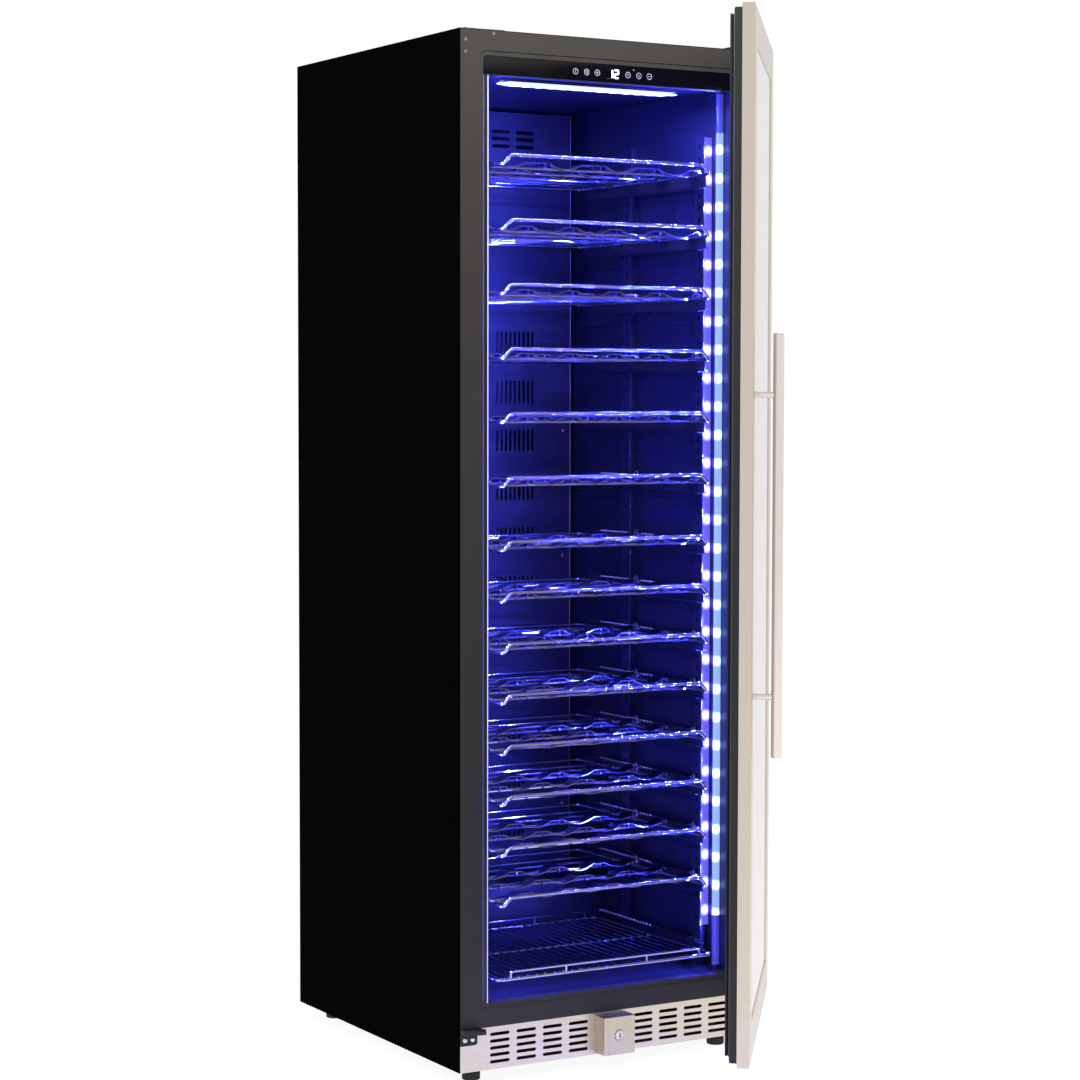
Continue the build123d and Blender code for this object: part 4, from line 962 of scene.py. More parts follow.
@dataclass
class CabinetShell:
    """Painted sheets, front frame and their small fittings."""

    edge: float = 0.7
    rivets: Outline = ((-286.0, 1738.5), (-286.0, 1719.0), (-233.5, 1751.5))
    rivet_radius: float = 3.2
    # Shares of the radius, with heights in millimetres.
    rivet_profile: Outline = ((0, 0), (1, 0), (0.9, 0.5), (0.55, 1.1), (0.35, 0.9), (0, 0.9))
    rivet_sides: int = 18
    cover_x: tuple[float, float] = (-286.0, -212.0)
    cover_depth: float = 17.0
    cover_height: float = 2.4
    cover_edge: float = 1.0
    screw: ScrewHead = ScrewHead(8.0, 0.2, ZINC)
    screw_sink: float = 0.16
    screw_pitch: float = 190.0
    screw_inset: float = 14.0

    def build(self) -> None:
        """Dresses the sheets and adds rivets, hinge cover and back screws."""
        dress(SIDE_PAINT, "left_side_panel", "right_side_panel", "top_panel")
        dress(FRAME_PAINT, "front_frame", edge=self.edge)
        dress(ZINC, "back_panel", "base_plate")
        dress(FOAM, "insulation_foam")
        dress(LINER, "inner_liner", edge=self.edge)
        self.add_rivets()
        self.add_cover()
        self.add_back_screws()

    def add_rivets(self) -> None:
        """Adds the blind rivets in the frame's upper left corner."""
        front = node_box("front_frame")[0].y
        head, rivets = Shape(), Shape()
        profile = [(share * self.rivet_radius, height) for share, height in self.rivet_profile]
        head.lathe(profile, TO_FRONT, ZINC, self.rivet_sides)
        rivets.scatter(head, [mm(x, front, z) for x, z in self.rivets], ZINC)
        rivets.piece("frame_rivets", "zinc_sheet")

    def add_cover(self) -> None:
        """Adds the cap over the unused hinge holes."""
        low, high = node_box("top_panel")
        start, end = self.cover_x
        cover = Shape()
        far = mm(end, low.y + self.cover_depth, high.z + self.cover_height)
        cover.box(mm(start, low.y, high.z), far, COVER_GREY, self.cover_edge)
        cover.piece("hinge_hole_cover", "inner_frame_plastic")

    def add_back_screws(self) -> None:
        """Adds the screws down both edges of the back panel."""
        low, high = node_box("back_panel")
        inset = self.screw_inset
        count = int((high.z - low.z) / self.screw_pitch)
        levels = spread(low.z + inset, high.z - inset, count + 1)
        edges = (low.x + inset, high.x - inset)
        places = [mm(x, high.y - self.screw_sink, z) for x, z in product(edges, levels)]
        screws = Shape()
        screws.scatter(self.screw.shape(TO_BACK), places, ZINC)
        screws.piece("back_screws", "zinc_sheet")


@dataclass
class KickPanel:
    """Stainless kick plate with its slots, and the lock in its middle."""

    slot: tuple[float, float] = (38.0, 5.6)
    first: float = 66.0
    pitch: float = 51.5
    row_pitch: float = 11.7
    rows: int = 5
    columns: int = 4
    lock_edge: float = 1.2
    bolt_edge: float = 0.5
    bezel: float = 1.6
    plug_sink: float = 0.2
    plug_sides: int = 40
    keyway: tuple[float, float] = (2.2, 8.4)
    keyway_height: float = 0.15

    def build(self) -> None:
        """Builds the plate and the lock."""
        self.add_plate()
        dress(LOCK_STEEL, "lock_housing", edge=self.lock_edge)
        dress(NICKEL, "lock_bolt", edge=self.bolt_edge)
        self.add_cylinder()

    def add_plate(self) -> None:
        """Adds the slotted plate."""
        low, high = node_box("kick_plate")
        size, middle = high - low, (low + high) / 2
        rows = centred(self.rows, self.row_pitch)
        slots = [
            (side * (self.first + column * self.pitch), z)
            for side, column, z in product(SIDES, range(self.columns), rows)
        ]
        sheet = SlottedSheet(size.x, size.z, size.y, slots, self.slot).mesh(STEEL_ACROSS)
        plate = Shape()
        plate.graft(sheet, STEEL_ACROSS, at(middle.x, high.y, middle.z) @ TO_FRONT)
        plate.piece("kick_plate_slotted", "brushed_stainless", ["kick_plate"])

    def add_cylinder(self) -> None:
        """Adds the lock cylinder with its bezel and keyway."""
        low, high = node_box("lock_cylinder")
        middle = (low + high) / 2
        radius, length = (high.x - low.x) / 2, high.y - low.y
        rim, face = radius - self.bezel, length - self.plug_sink
        place = at(middle.x, high.y, middle.z) @ TO_FRONT
        # Over the bezel's rounded rim and the groove inside it to the plug's face.
        profile = [
            (0, 0), (radius, 0), (radius, length - 1.0), (radius - 0.5, length), (rim, length),
            (rim - 0.3, length - 0.7), (rim - 0.9, length - 0.7), (rim - 1.4, face), (0, face),
        ]
        plug = Shape()
        plug.lathe(profile, place, NICKEL, self.plug_sides)
        plug.prism(rectangle(*self.keyway), self.keyway_height, place @ at(0, 0, face), ABS_BLACK)
        plug.piece("lock_plug", "lock_steel", ["lock_cylinder"], "lock_cylinder")


@dataclass
class HingeSet:
    """Painted hinge irons and the slotted screws that hold the brackets."""

    edge: float = 1.0
    screw: ScrewHead = ScrewHead(9.0, 2.0, NICKEL, slotted=True)
    screw_rise: float = 11.0
    screws_in: tuple[float, float] = (6.3, 24.3)
    spare_screws_in: tuple[float, float] = (7.2, 21.6)
    plate_width: float = 31.0
    plate_height: float = 20.0
    plate_sheet: float = 4.0
    plate_corner: float = 5.0
    plate_edge: float = 0.6
    arm_height: float = 8.0
    arm_edge: float = 0.8
    arm: Outline = (
        (0.0, 0.0), (0.0, -9.0), (12.0, -17.0), (28.0, -23.0), (37.0, -23.0), (40.0, -17.0), (37.0, -8.0),
        (31.0, 0.0),
    )

    def build(self) -> None:
        """Dresses the irons in use and adds the spare bracket and the screws."""
        dress(HINGE_PAINT, "lower_hinge", "upper_hinge", edge=self.edge)
        self.add_spare()
        low, high = node_box("lower_hinge")
        rise = low.z + self.screw_rise
        front = min(p.y for p in node_points("lower_hinge") if p.z < rise)
        spots = [mm(high.x - x, front, rise) for x in self.screws_in]
        low = node_box("spare_hinge_bracket")[0]
        front = node_box("kick_plate")[0].y - self.plate_sheet
        spots += [mm(low.x + x, front, low.z + self.plate_height / 2) for x in self.spare_screws_in]
        screws = Shape()
        screws.scatter(self.screw.shape(TO_FRONT), spots, NICKEL)
        screws.piece("bracket_screws", "lock_steel")

    def add_spare(self) -> None:
        """Adds the unused bracket: a small plate with rounded corners and a hooked arm over it."""
        low = node_box("spare_hinge_bracket")[0]
        front = node_box("kick_plate")[0].y
        radius = self.plate_corner
        right, top = low.x + self.plate_width, low.z + self.plate_height
        corner = arc((right - radius, low.z + radius), radius, -90, 0, 5)
        outline = [(low.x, low.z), *corner, (right, top), (low.x, top)]
        arm = [(low.x + x, front + y) for x, y in self.arm]
        bracket = Shape()
        bracket.prism(outline, self.plate_sheet, at(0, front, 0) @ TO_FRONT, HINGE_PAINT, self.plate_edge)
        bracket.prism(arm, self.arm_height, at(0, 0, top), HINGE_PAINT, self.arm_edge)
        bracket.piece("spare_bracket", "black_hinge_paint", ["spare_hinge_bracket"])


# Marks of the touch panel's signs, as lines between shares of their reach: bar, cross, plus, up,
# down and dash.
MARKS = (
    (((0, -1), (0, 1)),),
    (((-1, -1), (1, 1)), ((-1, 1), (1, -1))),
    (((-1, 0), (1, 0)), ((0, -1), (0, 1))),
    (((-1, -0.4), (0, 0.6)), ((0, 0.6), (1, -0.4))),
    (((-1, 0.4), (0, -0.6)), ((0, -0.6), (1, 0.4))),
    (((-1, 0), (1, 0)),),
)
# Lit bars of the display's figures 1 and 2, drawn in the same way.
FIGURES = (
    (((1, 1), (1, 0)), ((1, 0), (1, -1))),
    (((-1, 1), (1, 1)), ((1, 1), (1, 0)), ((-1, 0), (1, 0)), ((-1, 0), (-1, -1)), ((-1, -1), (1, -1))),
)


@dataclass
class TouchPanel:
    """Gloss panel under the top rail with lit signs and a two-figure display."""

    sign_places: tuple[float, ...] = (-75.0, -53.0, -32.0, 29.0, 51.0, 72.0)
    sign_radius: float = 5.2
    sign_reach: float = 2.6
    sign_sides: int = 24
    line: float = 0.8
    figure_height: float = 13.0
    figure_width: float = 7.4
    figure_gap: float = 4.4
    figure_bar: float = 2.6
    edge: float = 0.5
    seal: float = 1.4
    seal_edge: float = 0.4
    lamp_place: tuple[float, float] = (40.0, 9.0)
    lamp_radius: float = 0.9
    lamp_sides: int = 12
    proud: float = 0.12

    def build(self) -> None:
        """Dresses the panel and draws what is printed and lit on it."""
        dress(PANEL_GLOSS, "control_panel", edge=self.edge)
        dress(PANEL_GLOSS, "display_window")
        low, high = node_box("control_panel")
        place = at(0, low.y, (low.z + high.z) / 2) @ TO_FRONT
        seal, signs, display = Shape(), Shape(), Shape()
        seal.box(mm(low.x, low.y, low.z - self.seal), mm(high.x, high.y, low.z), RUBBER, self.seal_edge)
        seal.piece("panel_seal", "gasket_rubber")
        ring, inner, proud = self.sign_radius, self.sign_radius - self.line, self.proud
        rim = [(inner, 0), (ring, 0), (ring, proud), (inner, proud), (inner, 0)]
        reach = (self.sign_reach, self.sign_reach)
        for x, lines in zip(self.sign_places, MARKS):
            middle = place @ at(x, 0, 0)
            signs.lathe(rim, middle, PANEL_INK, self.sign_sides)
            self.draw(signs, lines, middle, reach, self.line, PANEL_INK)
        dot = [(0, 0), (self.lamp_radius, 0), (self.lamp_radius, proud), (0, proud)]
        signs.lathe(dot, place @ at(*self.lamp_place, 0), PANEL_INK, self.lamp_sides)
        signs.piece("panel_signs", "black_gloss_panel")
        reach = (self.figure_width / 2, self.figure_height / 2)
        for share, lines in zip((-0.5, 0.5), FIGURES):
            middle = place @ at(share * (self.figure_width + self.figure_gap), 0, 0)
            self.draw(display, lines, middle, reach, self.figure_bar, DISPLAY_LIGHT)
        display.piece("display_figures", "display")

    def draw(
        self, shape: Shape, lines: Sequence, place: Matrix, reach: tuple[float, float], width: float,
        finish: Finish,
    ) -> None:
        """Draws straight lines on the panel.

        Args:
            shape: Shape that gets them.
            lines: Their ends, as shares of the reach.
            place: Their middle.
            reach: Half the width and height that they take up.
            width: Width of each line.
            finish: Their finish.
        """
        for line in lines:
            start, end = (Vector((x * reach[0], z * reach[1])) for x, z in line)
            along = (end - start).normalized()
            side = Vector((-along.y, along.x)) * width / 2
            corners = [start - side, end - side, end + side, start + side]
            shape.prism(corners, self.proud, place, finish)


@dataclass
class Lighting:
    """Ceiling lamp and the light tubes beside the opening."""

    taper: float = 16.0
    housing: float = 6.0
    housing_inset: tuple[float, float] = (2.0, 1.0)
    housing_edge: float = 0.8
    bar: float = 6.0
    bar_nose: float = 0.45
    bar_edge: float = 1.2
    cap: float = 7.0
    plain_end: float = 96.0
    plain_top: float = 75.0
    tube_sides: int = 28
    # Sizes of the glowing bead at the left jamb, whose glow is a painted highlight.
    bead_width: float = 10.0
    bead_tip: float = 1.4
    bead_depth: float = 6.0
    bead_setback: float = 3.0
    strip_sheet: float = 1.6
    strip_width: float = 15.0
    strip_inset: float = 1.0
    strip_top: float = 40.0
    strip_bottom: float = 73.0
    edge: float = 0.5

    def build(self) -> None:
        """Builds the lamp, the tubes and their diodes."""
        self.add_lamp()
        self.add_tubes()
        self.add_painted_edge_highlight()
        self.add_pilaster_strips()

    def add_lamp(self) -> None:
        """Adds the lamp's dark housing under the ceiling and its opal bar with slanted ends."""
        low, high = node_box("top_lamp")
        top = high.z - self.housing
        foot, nose = top - self.bar, top - self.bar + self.bar_nose * self.bar
        x, y = self.housing_inset
        lamp = Shape()
        lamp.box(
            mm(low.x + x, low.y + y, top), mm(high.x - x, high.y - y, high.z), ABS_BLACK, self.housing_edge
        )
        outline = [
            (low.x, nose), (low.x + self.taper, foot), (high.x - 2 * self.taper, foot), (high.x, nose),
            (high.x - self.taper, top), (low.x + self.taper, top),
        ]
        lamp.prism(outline, high.y - low.y, at(0, high.y, 0) @ TO_FRONT, LAMP_LIGHT, self.bar_edge)
        lamp.piece("ceiling_lamp", "lamp", ["top_lamp"])

    def add_tubes(self) -> None:
        """Adds the tubes with a flat back on the liner, their caps and diode strips."""
        low, high = node_box("led_tubes")
        radius = (high.y - low.y) / 2
        middle_y = (low.y + high.y) / 2
        cap, plain, top = self.cap, self.plain_end, self.plain_top
        levels = (low.z, low.z + cap, low.z + plain, high.z - top, high.z - cap, high.z)
        finishes = (ABS_BLACK, TUBE_GLOW, TUBE_LIGHT, TUBE_GLOW, ABS_BLACK)
        tubes = Shape()
        for side, wall in zip(SIDES, (-low.x, high.x)):
            centre = min(side * p.x for p in node_points("led_tubes") if side * p.x > 0) + radius
            flat = wall - centre
            ring = arc((0, 0), radius, 0, 360, self.tube_sides)[:-1]
            outline = [(x if side * x < flat else side * flat, y) for x, y in ring]
            for start, end, finish in zip(levels, levels[1:], finishes):
                tubes.prism(outline, end - start, at(side * centre, middle_y, start), finish)
        tubes.piece("light_tubes", "clear_tube", ["led_tubes"])
        dress(STRIP_WHITE, "led_strips")

    def add_painted_edge_highlight(self) -> None:
        """Adds a bead along the left jamb whose glow is a painted highlight: the bright white and violet
        lines along the jamb.
        """
        low, high = node_box("led_tubes")
        wall = node_box("control_panel")[0].x
        front = node_box("front_frame")[0].y + self.bead_setback
        levels = (0, self.bead_tip, self.bead_width - self.bead_tip, self.bead_width)
        bead = Shape()
        # Violet root and white tip glow as painted highlight lines.
        for start, end, finish in zip(levels, levels[1:], (BEAD_ROOT_HIGHLIGHT, ABS_BLACK, BEAD_TIP_HIGHLIGHT)):
            far = mm(wall + end, front + self.bead_depth, high.z)
            bead.box(mm(wall + start, front, low.z), far, finish, self.edge)
        bead.piece("edge_light_bead", "clear_tube")

    def add_pilaster_strips(self) -> None:
        """Adds the diffuser strips on the front pilasters."""
        low, high = node_box("pilasters")
        outer = high.x - self.strip_inset
        strips = Shape()
        for side in SIDES:
            start, end = sorted((side * outer, side * (outer - self.strip_width)))
            near = mm(start, low.y - self.strip_sheet, low.z + self.strip_bottom)
            strips.box(near, mm(end, low.y, high.z - self.strip_top), DIFFUSER_LIGHT, self.edge)
        strips.piece("pilaster_light_strips", "led_strip")


# Inside


def shelf_names() -> list[str]:
    """Returns the names of the bottle shelves, top first."""
    return [f"shelf_{k:02d}" for k in range(1, 15)]


@dataclass
class BottleShelf:
    """A sliding shelf: a chromed wire that rises into a front rail, wave strips and slides."""

    wire: float = 5.8
    cross_wire: float = 4.8
    thin_sides: int = 8
    lift: float = 7.0
    rail_x: float = 205.0
    slide_x: tuple[float, float] = (222.5, 228.5)
    slide_half: float = 12.1
    slide_front: float = 40.0
    slide_wall: float = 1.6
    slide_corner: float = 1.0
    rail_rise: float = 15.0
    rail_run: float = 13.0
    rail_bend: float = 7.0
    reach: float = 221.0
    top: float = 9.0
    dip: float = 9.5
    cradle: float = 64.0
    cradle_steps: int = 12
    end_run: float = 3.0
    strip_width: float = 30.0
    strip_sheet: float = 1.4
    strip_places: tuple[float, ...] = (65.0, 160.0, 255.0)
    cross_places: tuple[float, ...] = (65.0, 160.0, 255.0, 310.0, 356.0)
    fold: float = 9.0
    fold_edge: float = 0.3
    hook: float = 3.0
    hook_inset: float = 2.0
    hook_width: float = 10.0
    hook_rise: float = 15.0
    hook_bend: float = 4.0

    def build(self) -> None:
        """Builds every shelf on its own body. The top one, under the lamp, has four cradles."""
        for number, name in enumerate(shelf_names()):
            self.add_shelf(name, 5 if number else 4)

    def add_shelf(self, name: str, cradles: int) -> None:
        """Adds one shelf.

        Args:
            name: Its CAD node, which is also its body.
            cradles: Bottles side by side.
        """
        low, high = node_box(name)
        middle = low.z + self.slide_half
        level = middle + self.lift
        front, back = low.y + self.wire / 2, high.y - self.wire / 2
        x, run, rail = self.rail_x, self.rail_run, level + self.rail_rise
        ring = [
            mm(-x, back, level), mm(-x, front, level), mm(run - x, front, rail), mm(x - run, front, rail),
            mm(x, front, level), mm(x, back, level),
        ]
        shelf = Shape()
        shelf.wires([bent(ring, self.rail_bend, closed=True)], self.wire, CHROME)
        cross = [[mm(side * self.reach, front + y, level) for side in SIDES] for y in self.cross_places]
        shelf.wires(cross, self.cross_wire, CHROME, self.thin_sides)
        for y in self.strip_places:
            self.add_strip(shelf, front + y, level, cradles)
        hooks = [self.hook_path(side, front + y, level) for side in SIDES for y in self.strip_places[::2]]
        shelf.wires(hooks, self.hook, CHROME, self.thin_sides)
        self.add_slides(shelf, low.y + self.slide_front, high.y, middle)
        shelf.piece(f"{name}_wire_shelf", "chromed_wire", [name], name)

    def hook_path(self, side: int, y: float, level: float) -> list[Vector]:
        """Returns the path of the hook that ties a strip's end to the slide.

        Args:
            side: -1 for the left and 1 for the right.
            y: Where the strip's middle lies.
            level: Height of the side rails.
        """
        x, top = side * (self.reach - self.hook_inset), level + self.hook_rise
        front, back = y - self.hook_width / 2, y + self.hook_width / 2
        corners = [mm(x, front, level), mm(x, front, top), mm(x, back, top), mm(x, back, level)]
        return bent(corners, self.hook_bend)

    def wave(self, cradles: int) -> list[tuple[float, float]]:
        """Returns a strip's line as x and height: flat tops with round hollows for the bottles."""
        pitch = 2 * self.reach / cradles
        half = self.cradle / 2
        radius = (half**2 + self.dip**2) / (2 * self.dip)
        ends = [(self.reach - self.end_run, self.top), (self.reach, self.wire / 2)]
        line = [(-x, z) for x, z in ends[::-1]]
        for middle, step in product(centred(cradles, pitch), range(self.cradle_steps + 1)):
            x = -half + self.cradle * step / self.cradle_steps
            line.append((middle + x, self.top - self.dip + radius - math.sqrt(radius**2 - x**2)))
        return [*line, *ends]

    def add_strip(self, shelf: Shape, y: float, level: float, cradles: int) -> None:
        """Adds one wave strip and the folded feet at the right of its flat tops.

        Args:
            shelf: Shape that gets it.
            y: Where its middle lies.
            level: Height of the side rails.
            cradles: Its hollows.
        """
        path = [mm(x, y, level + z) for x, z in self.wave(cradles)]
        shelf.sweep(rectangle(self.strip_sheet, self.strip_width), path, STRIP, closed=False)
        half, wide = self.strip_sheet / 2, self.strip_width / 2
        pitch = 2 * self.reach / cradles
        for middle in centred(cradles, pitch)[1:]:
            leg = middle - self.cradle / 2 - self.fold
            far = mm(leg + half, y + wide, level + self.top)
            shelf.box(mm(leg - half, y - wide, level), far, STRIP, self.fold_edge)

    def add_slides(self, shelf: Shape, front: float, back: float, level: float) -> None:
        """Adds the slide members on both sides: shallow channels open to the wall.

        Args:
            shelf: Shape that gets them.
            front: Their front end.
            back: Their back end.
            level: Height of their middle.
        """
        depth = self.slide_x[1] - self.slide_x[0]
        half, wall, corner = self.slide_half, self.slide_wall, self.slide_corner
        lip = wall - half
        lower = [(0, corner - half), (corner, -half), (depth, -half), (depth, lip), (wall, lip)]
        channel = lower + [(x, -z) for x, z in lower[::-1]]
        for side in SIDES:
            place = at(side * self.slide_x[0], back, level) @ TO_FRONT
            shelf.prism([(side * x, z) for x, z in channel], back - front, place, SLIDE_STEEL)


@dataclass
class BottomShelf:
    """Flat wire shelf on the floor, with a low guard at its front and back."""

    wire: float = 6.0
    bar: float = 3.0
    bars: int = 25
    bar_inset: float = 9.0
    bar_sink: float = 0.4
    thin_sides: int = 8
    bead: float = 4.6
    bead_sink: float = 0.6
    bead_rise: float = 1.0
    rail_x: float = 219.5
    slide_half: float = 12.1
    guard: float = 4.0
    guard_rise: float = 13.0
    guard_x: float = 191.5
    guard_bend: float = 6.0
    post_x: float = 82.0
    corner: float = 14.0

    def build(self) -> None:
        """Builds the shelf on its body."""
        low, high = node_box("bottom_shelf")
        level = low.z + self.slide_half
        front, back = low.y + self.wire / 2, high.y - self.wire / 2
        x = self.rail_x
        ring = [mm(-x, front, level), mm(x, front, level), mm(x, back, level), mm(-x, back, level)]
        shelf = Shape()
        shelf.wires([bent(ring, self.corner, closed=True)], self.wire, CHROME)
        rest = level + self.wire / 2 - self.bar_sink
        first = self.bar_inset - x
        bars = spread(first, -first, self.bars)
        lines = [[mm(b, y, rest) for y in (front, back)] for b in bars]
        shelf.wires(lines, self.bar, CHROME, self.thin_sides)
        tip = low.y + self.bead_sink
        beads = [mm(b, tip, level + self.bead_rise) for b in bars[::2]]
        shelf.scatter(ball(self.bead, CHROME), beads, CHROME)
        middle = (front + back) / 2
        cross = [[mm(-x, middle, level), mm(x, middle, level)]]
        top, wide = level + self.guard_rise, self.guard_x
        for y in (front, back):
            guard = [mm(-wide, y, level), mm(-wide, y, top), mm(wide, y, top), mm(wide, y, level)]
            cross.append(bent(guard, self.guard_bend))
            cross += [[mm(side * self.post_x, y, z) for z in (level, top)] for side in SIDES]
        shelf.wires(cross, self.guard, CHROME, self.thin_sides)
        slides = BottleShelf()
        slides.add_slides(shelf, front + slides.slide_front, high.y, level)
        shelf.piece("bottom_wire_shelf", "chromed_wire", ["bottom_shelf"], "bottom_shelf")


@dataclass
class Runners:
    """Slotted pilasters on the liner's walls and the ball runners that hook into them."""

    pilaster_sheet: float = 1.5
    pilaster_gap: float = 38.0
    flange_edge: float = 0.5
    slot: tuple[float, float] = (4.6, 10.0)
    slot_pitch: float = 21.5
    bright_edge: float = 1.4
    bright_half: float = 0.4
    bright_round: float = 0.2
    runner_sheet: float = 1.5
    balls: int = 17
    ball: float = 3.0
    ball_start: float = 150.0
    ball_pitch: float = 10.8
    ball_out: float = 0.4
    ball_rise: float = 0.6

    def build(self) -> None:
        """Builds the pilasters and the runners."""
        self.add_pilasters()
        self.add_runners()

    def spans(self) -> list[tuple[float, float]]:
        """Returns the front and back of each pilaster on the right wall, in millimetres."""
        ys = [round(p.y, 1) for p in node_points("pilasters") if p.x > 0]
        middle = (min(ys) + max(ys)) / 2
        halves = [y for y in ys if y < middle], [y for y in ys if y >= middle]
        return [(min(half), max(half)) for half in halves]

    def add_pilasters(self) -> None:
        """Adds the four channels, each with a slotted web, two flanges and a bright front edge."""
        low, high = node_box("pilasters")
        high.z -= self.pilaster_gap
        wall = self.pilaster_sheet
        web, height = inner_x("pilasters"), high.z - low.z
        count = int(height / self.slot_pitch)
        slots = [(0.0, z) for z in centred(count, self.slot_pitch)]
        made = Shape()
        for (start, end), side in product(self.spans(), SIDES):
            sheet = SlottedSheet(end - start, height, wall, slots, self.slot).mesh(PILASTER_STEEL)
            x = web if side > 0 else -web - wall
            place = at(x, (start + end) / 2, (low.z + high.z) / 2) @ TO_SIDE
            made.graft(sheet, PILASTER_STEEL, place)
            flange = sorted((side * web, side * high.x))
            rim = sorted((side * web, side * (web + self.bright_edge)))
            for y in (start, end - wall):
                far = mm(flange[1], y + wall, high.z)
                made.box(mm(flange[0], y, low.z), far, PILASTER_STEEL, self.flange_edge)
            far = mm(rim[1], start + self.bright_half, high.z)
            made.box(mm(rim[0], start - self.bright_half, low.z), far, STRIP, self.bright_round)
        made.piece("slotted_pilasters", "pilaster_steel", ["pilasters"])

    def add_runners(self) -> None:
        """Adds a runner on both sides of every shelf, with its row of balls."""
        low, high = node_box("shelf_runners")
        inner, wall = inner_x("shelf_runners"), self.runner_sheet
        depth = high.x - inner
        levels = [node_box(name)[0].z + BottleShelf.slide_half for name in (*shelf_names(), "bottom_shelf")]
        half = high.z - max(levels)
        upper = [(depth, half), (0, half), (0, half - wall), (depth - wall, half - wall)]
        channel = upper + [(x, -z) for x, z in upper[::-1]]
        made = Shape()
        places = []
        for side in SIDES:
            runner = Shape()
            runner.prism([(side * x, z) for x, z in channel], high.y - low.y, TO_FRONT, SLIDE_STEEL)
            made.scatter(runner, [mm(side * inner, high.y, level) for level in levels], SLIDE_STEEL)
            x = side * (inner + self.ball_out)
            for level, k in product(levels, range(self.balls)):
                y = low.y + self.ball_start + k * self.ball_pitch
                places.append(mm(x, y, level + half + self.ball_rise))
        made.scatter(ball(self.ball, BALL_PAINTED_GLINT), places, BALL_PAINTED_GLINT)
        made.piece("ball_runners", "pilaster_steel", ["shelf_runners"])


@dataclass
class AirDuct:
    """Duct cover on the back wall with vent slots at its top and louvres down both sides."""

    sheet: float = 1.5
    sheet_edge: float = 0.4
    top_slot: tuple[float, float] = (39.0, 7.0)
    top_columns: tuple[float, ...] = (-130.0, -78.0, -26.0, 26.0, 78.0, 130.0)
    top_rows: tuple[float, ...] = (1650.0, 1637.0, 1623.0)
    louvre_x: float = 109.0
    louvre: tuple[float, float] = (5.0, 41.0)
    louvre_slots: int = 9
    louvre_pitch: float = 9.6
    louvre_first: float = 1256.0
    louvre_step: float = 92.5
    louvre_groups: int = 11
    screw: ScrewHead = ScrewHead(7.0, 1.6, NICKEL)
    screw_pitch: float = 215.0
    screw_inset: float = 16.0
    # Width, half depth and edge radius of the pale strips that paint a highlight down the cover's edges.
    trim: float = 1.0
    highlight_half: float = 0.5
    highlight_edge: float = 0.2

    def build(self) -> None:
        """Builds the cover, the pale strips down its edges that paint a highlight, and its screws."""
        low, high = node_box("duct_panel")
        middle, height = (low.z + high.z) / 2, high.z - low.z
        top = [(x, z - middle) for z in self.top_rows for x in self.top_columns]
        row = centred(self.louvre_slots, self.louvre_pitch)
        louvres = [
            (side * self.louvre_x + x, self.louvre_first - group * self.louvre_step - middle)
            for group, side, x in product(range(self.louvre_groups), SIDES, row)
        ]
        wall, inside = self.sheet, low.y + self.sheet
        sheet = SlottedSheet(high.x - low.x, height, wall, top, self.top_slot, louvres, self.louvre)
        duct = Shape()
        duct.graft(sheet.mesh(LINER), LINER, at(0, inside, middle) @ TO_FRONT)
        for x in (low.x, high.x - wall):
            duct.box(mm(x, inside, low.z), mm(x + wall, high.y, high.z), LINER, self.sheet_edge)
        for z in (low.z, high.z - wall):
            duct.box(mm(low.x, inside, z), mm(high.x, high.y, z + wall), LINER, self.sheet_edge)
        # Pale strips down both edges: a painted highlight of the cover's edges catching the light.
        for x in (low.x, high.x - self.trim):
            far = mm(x + self.trim, low.y + self.highlight_half, high.z)
            duct.box(mm(x, low.y - self.highlight_half, low.z), far, PALE_TRIM_AND_DUCT_HIGHLIGHT, self.highlight_edge)
        count = int(height / self.screw_pitch)
        edges = (low.x + self.screw_inset, high.x - self.screw_inset)
        levels = centred(count, height / count)
        places = [mm(x, low.y, middle + z) for x, z in product(edges, levels)]
        duct.scatter(self.screw.shape(TO_FRONT), places, NICKEL)
        duct.piece("duct_cover", "black_liner", ["duct_panel"])


@dataclass
class LinerRibs:
    """Low ribs pressed into the liner's side walls to stiffen them."""

    height: float = 9.0
    proud: float = 1.6
    front_gap: float = 60.0
    drop: float = 31.0

    def build(self) -> None:
        """Adds a rib under every bottle shelf on both walls."""
        low, high = node_box("pilasters")
        start, end = low.y + self.front_gap, node_box("duct_panel")[0].y
        half = self.height / 2
        ribs = Shape()
        for side, name in product(SIDES, shelf_names()):
            top = -side * self.proud
            outline = [(0, -half), (top, -half / 2), (top, half / 2), (0, half)]
            level = node_box(name)[0].z + BottleShelf.slide_half - self.drop
            ribs.prism(outline, end - start, at(side * high.x, end, level) @ TO_FRONT, LINER)
        ribs.piece("liner_ribs", "black_liner")


# Door


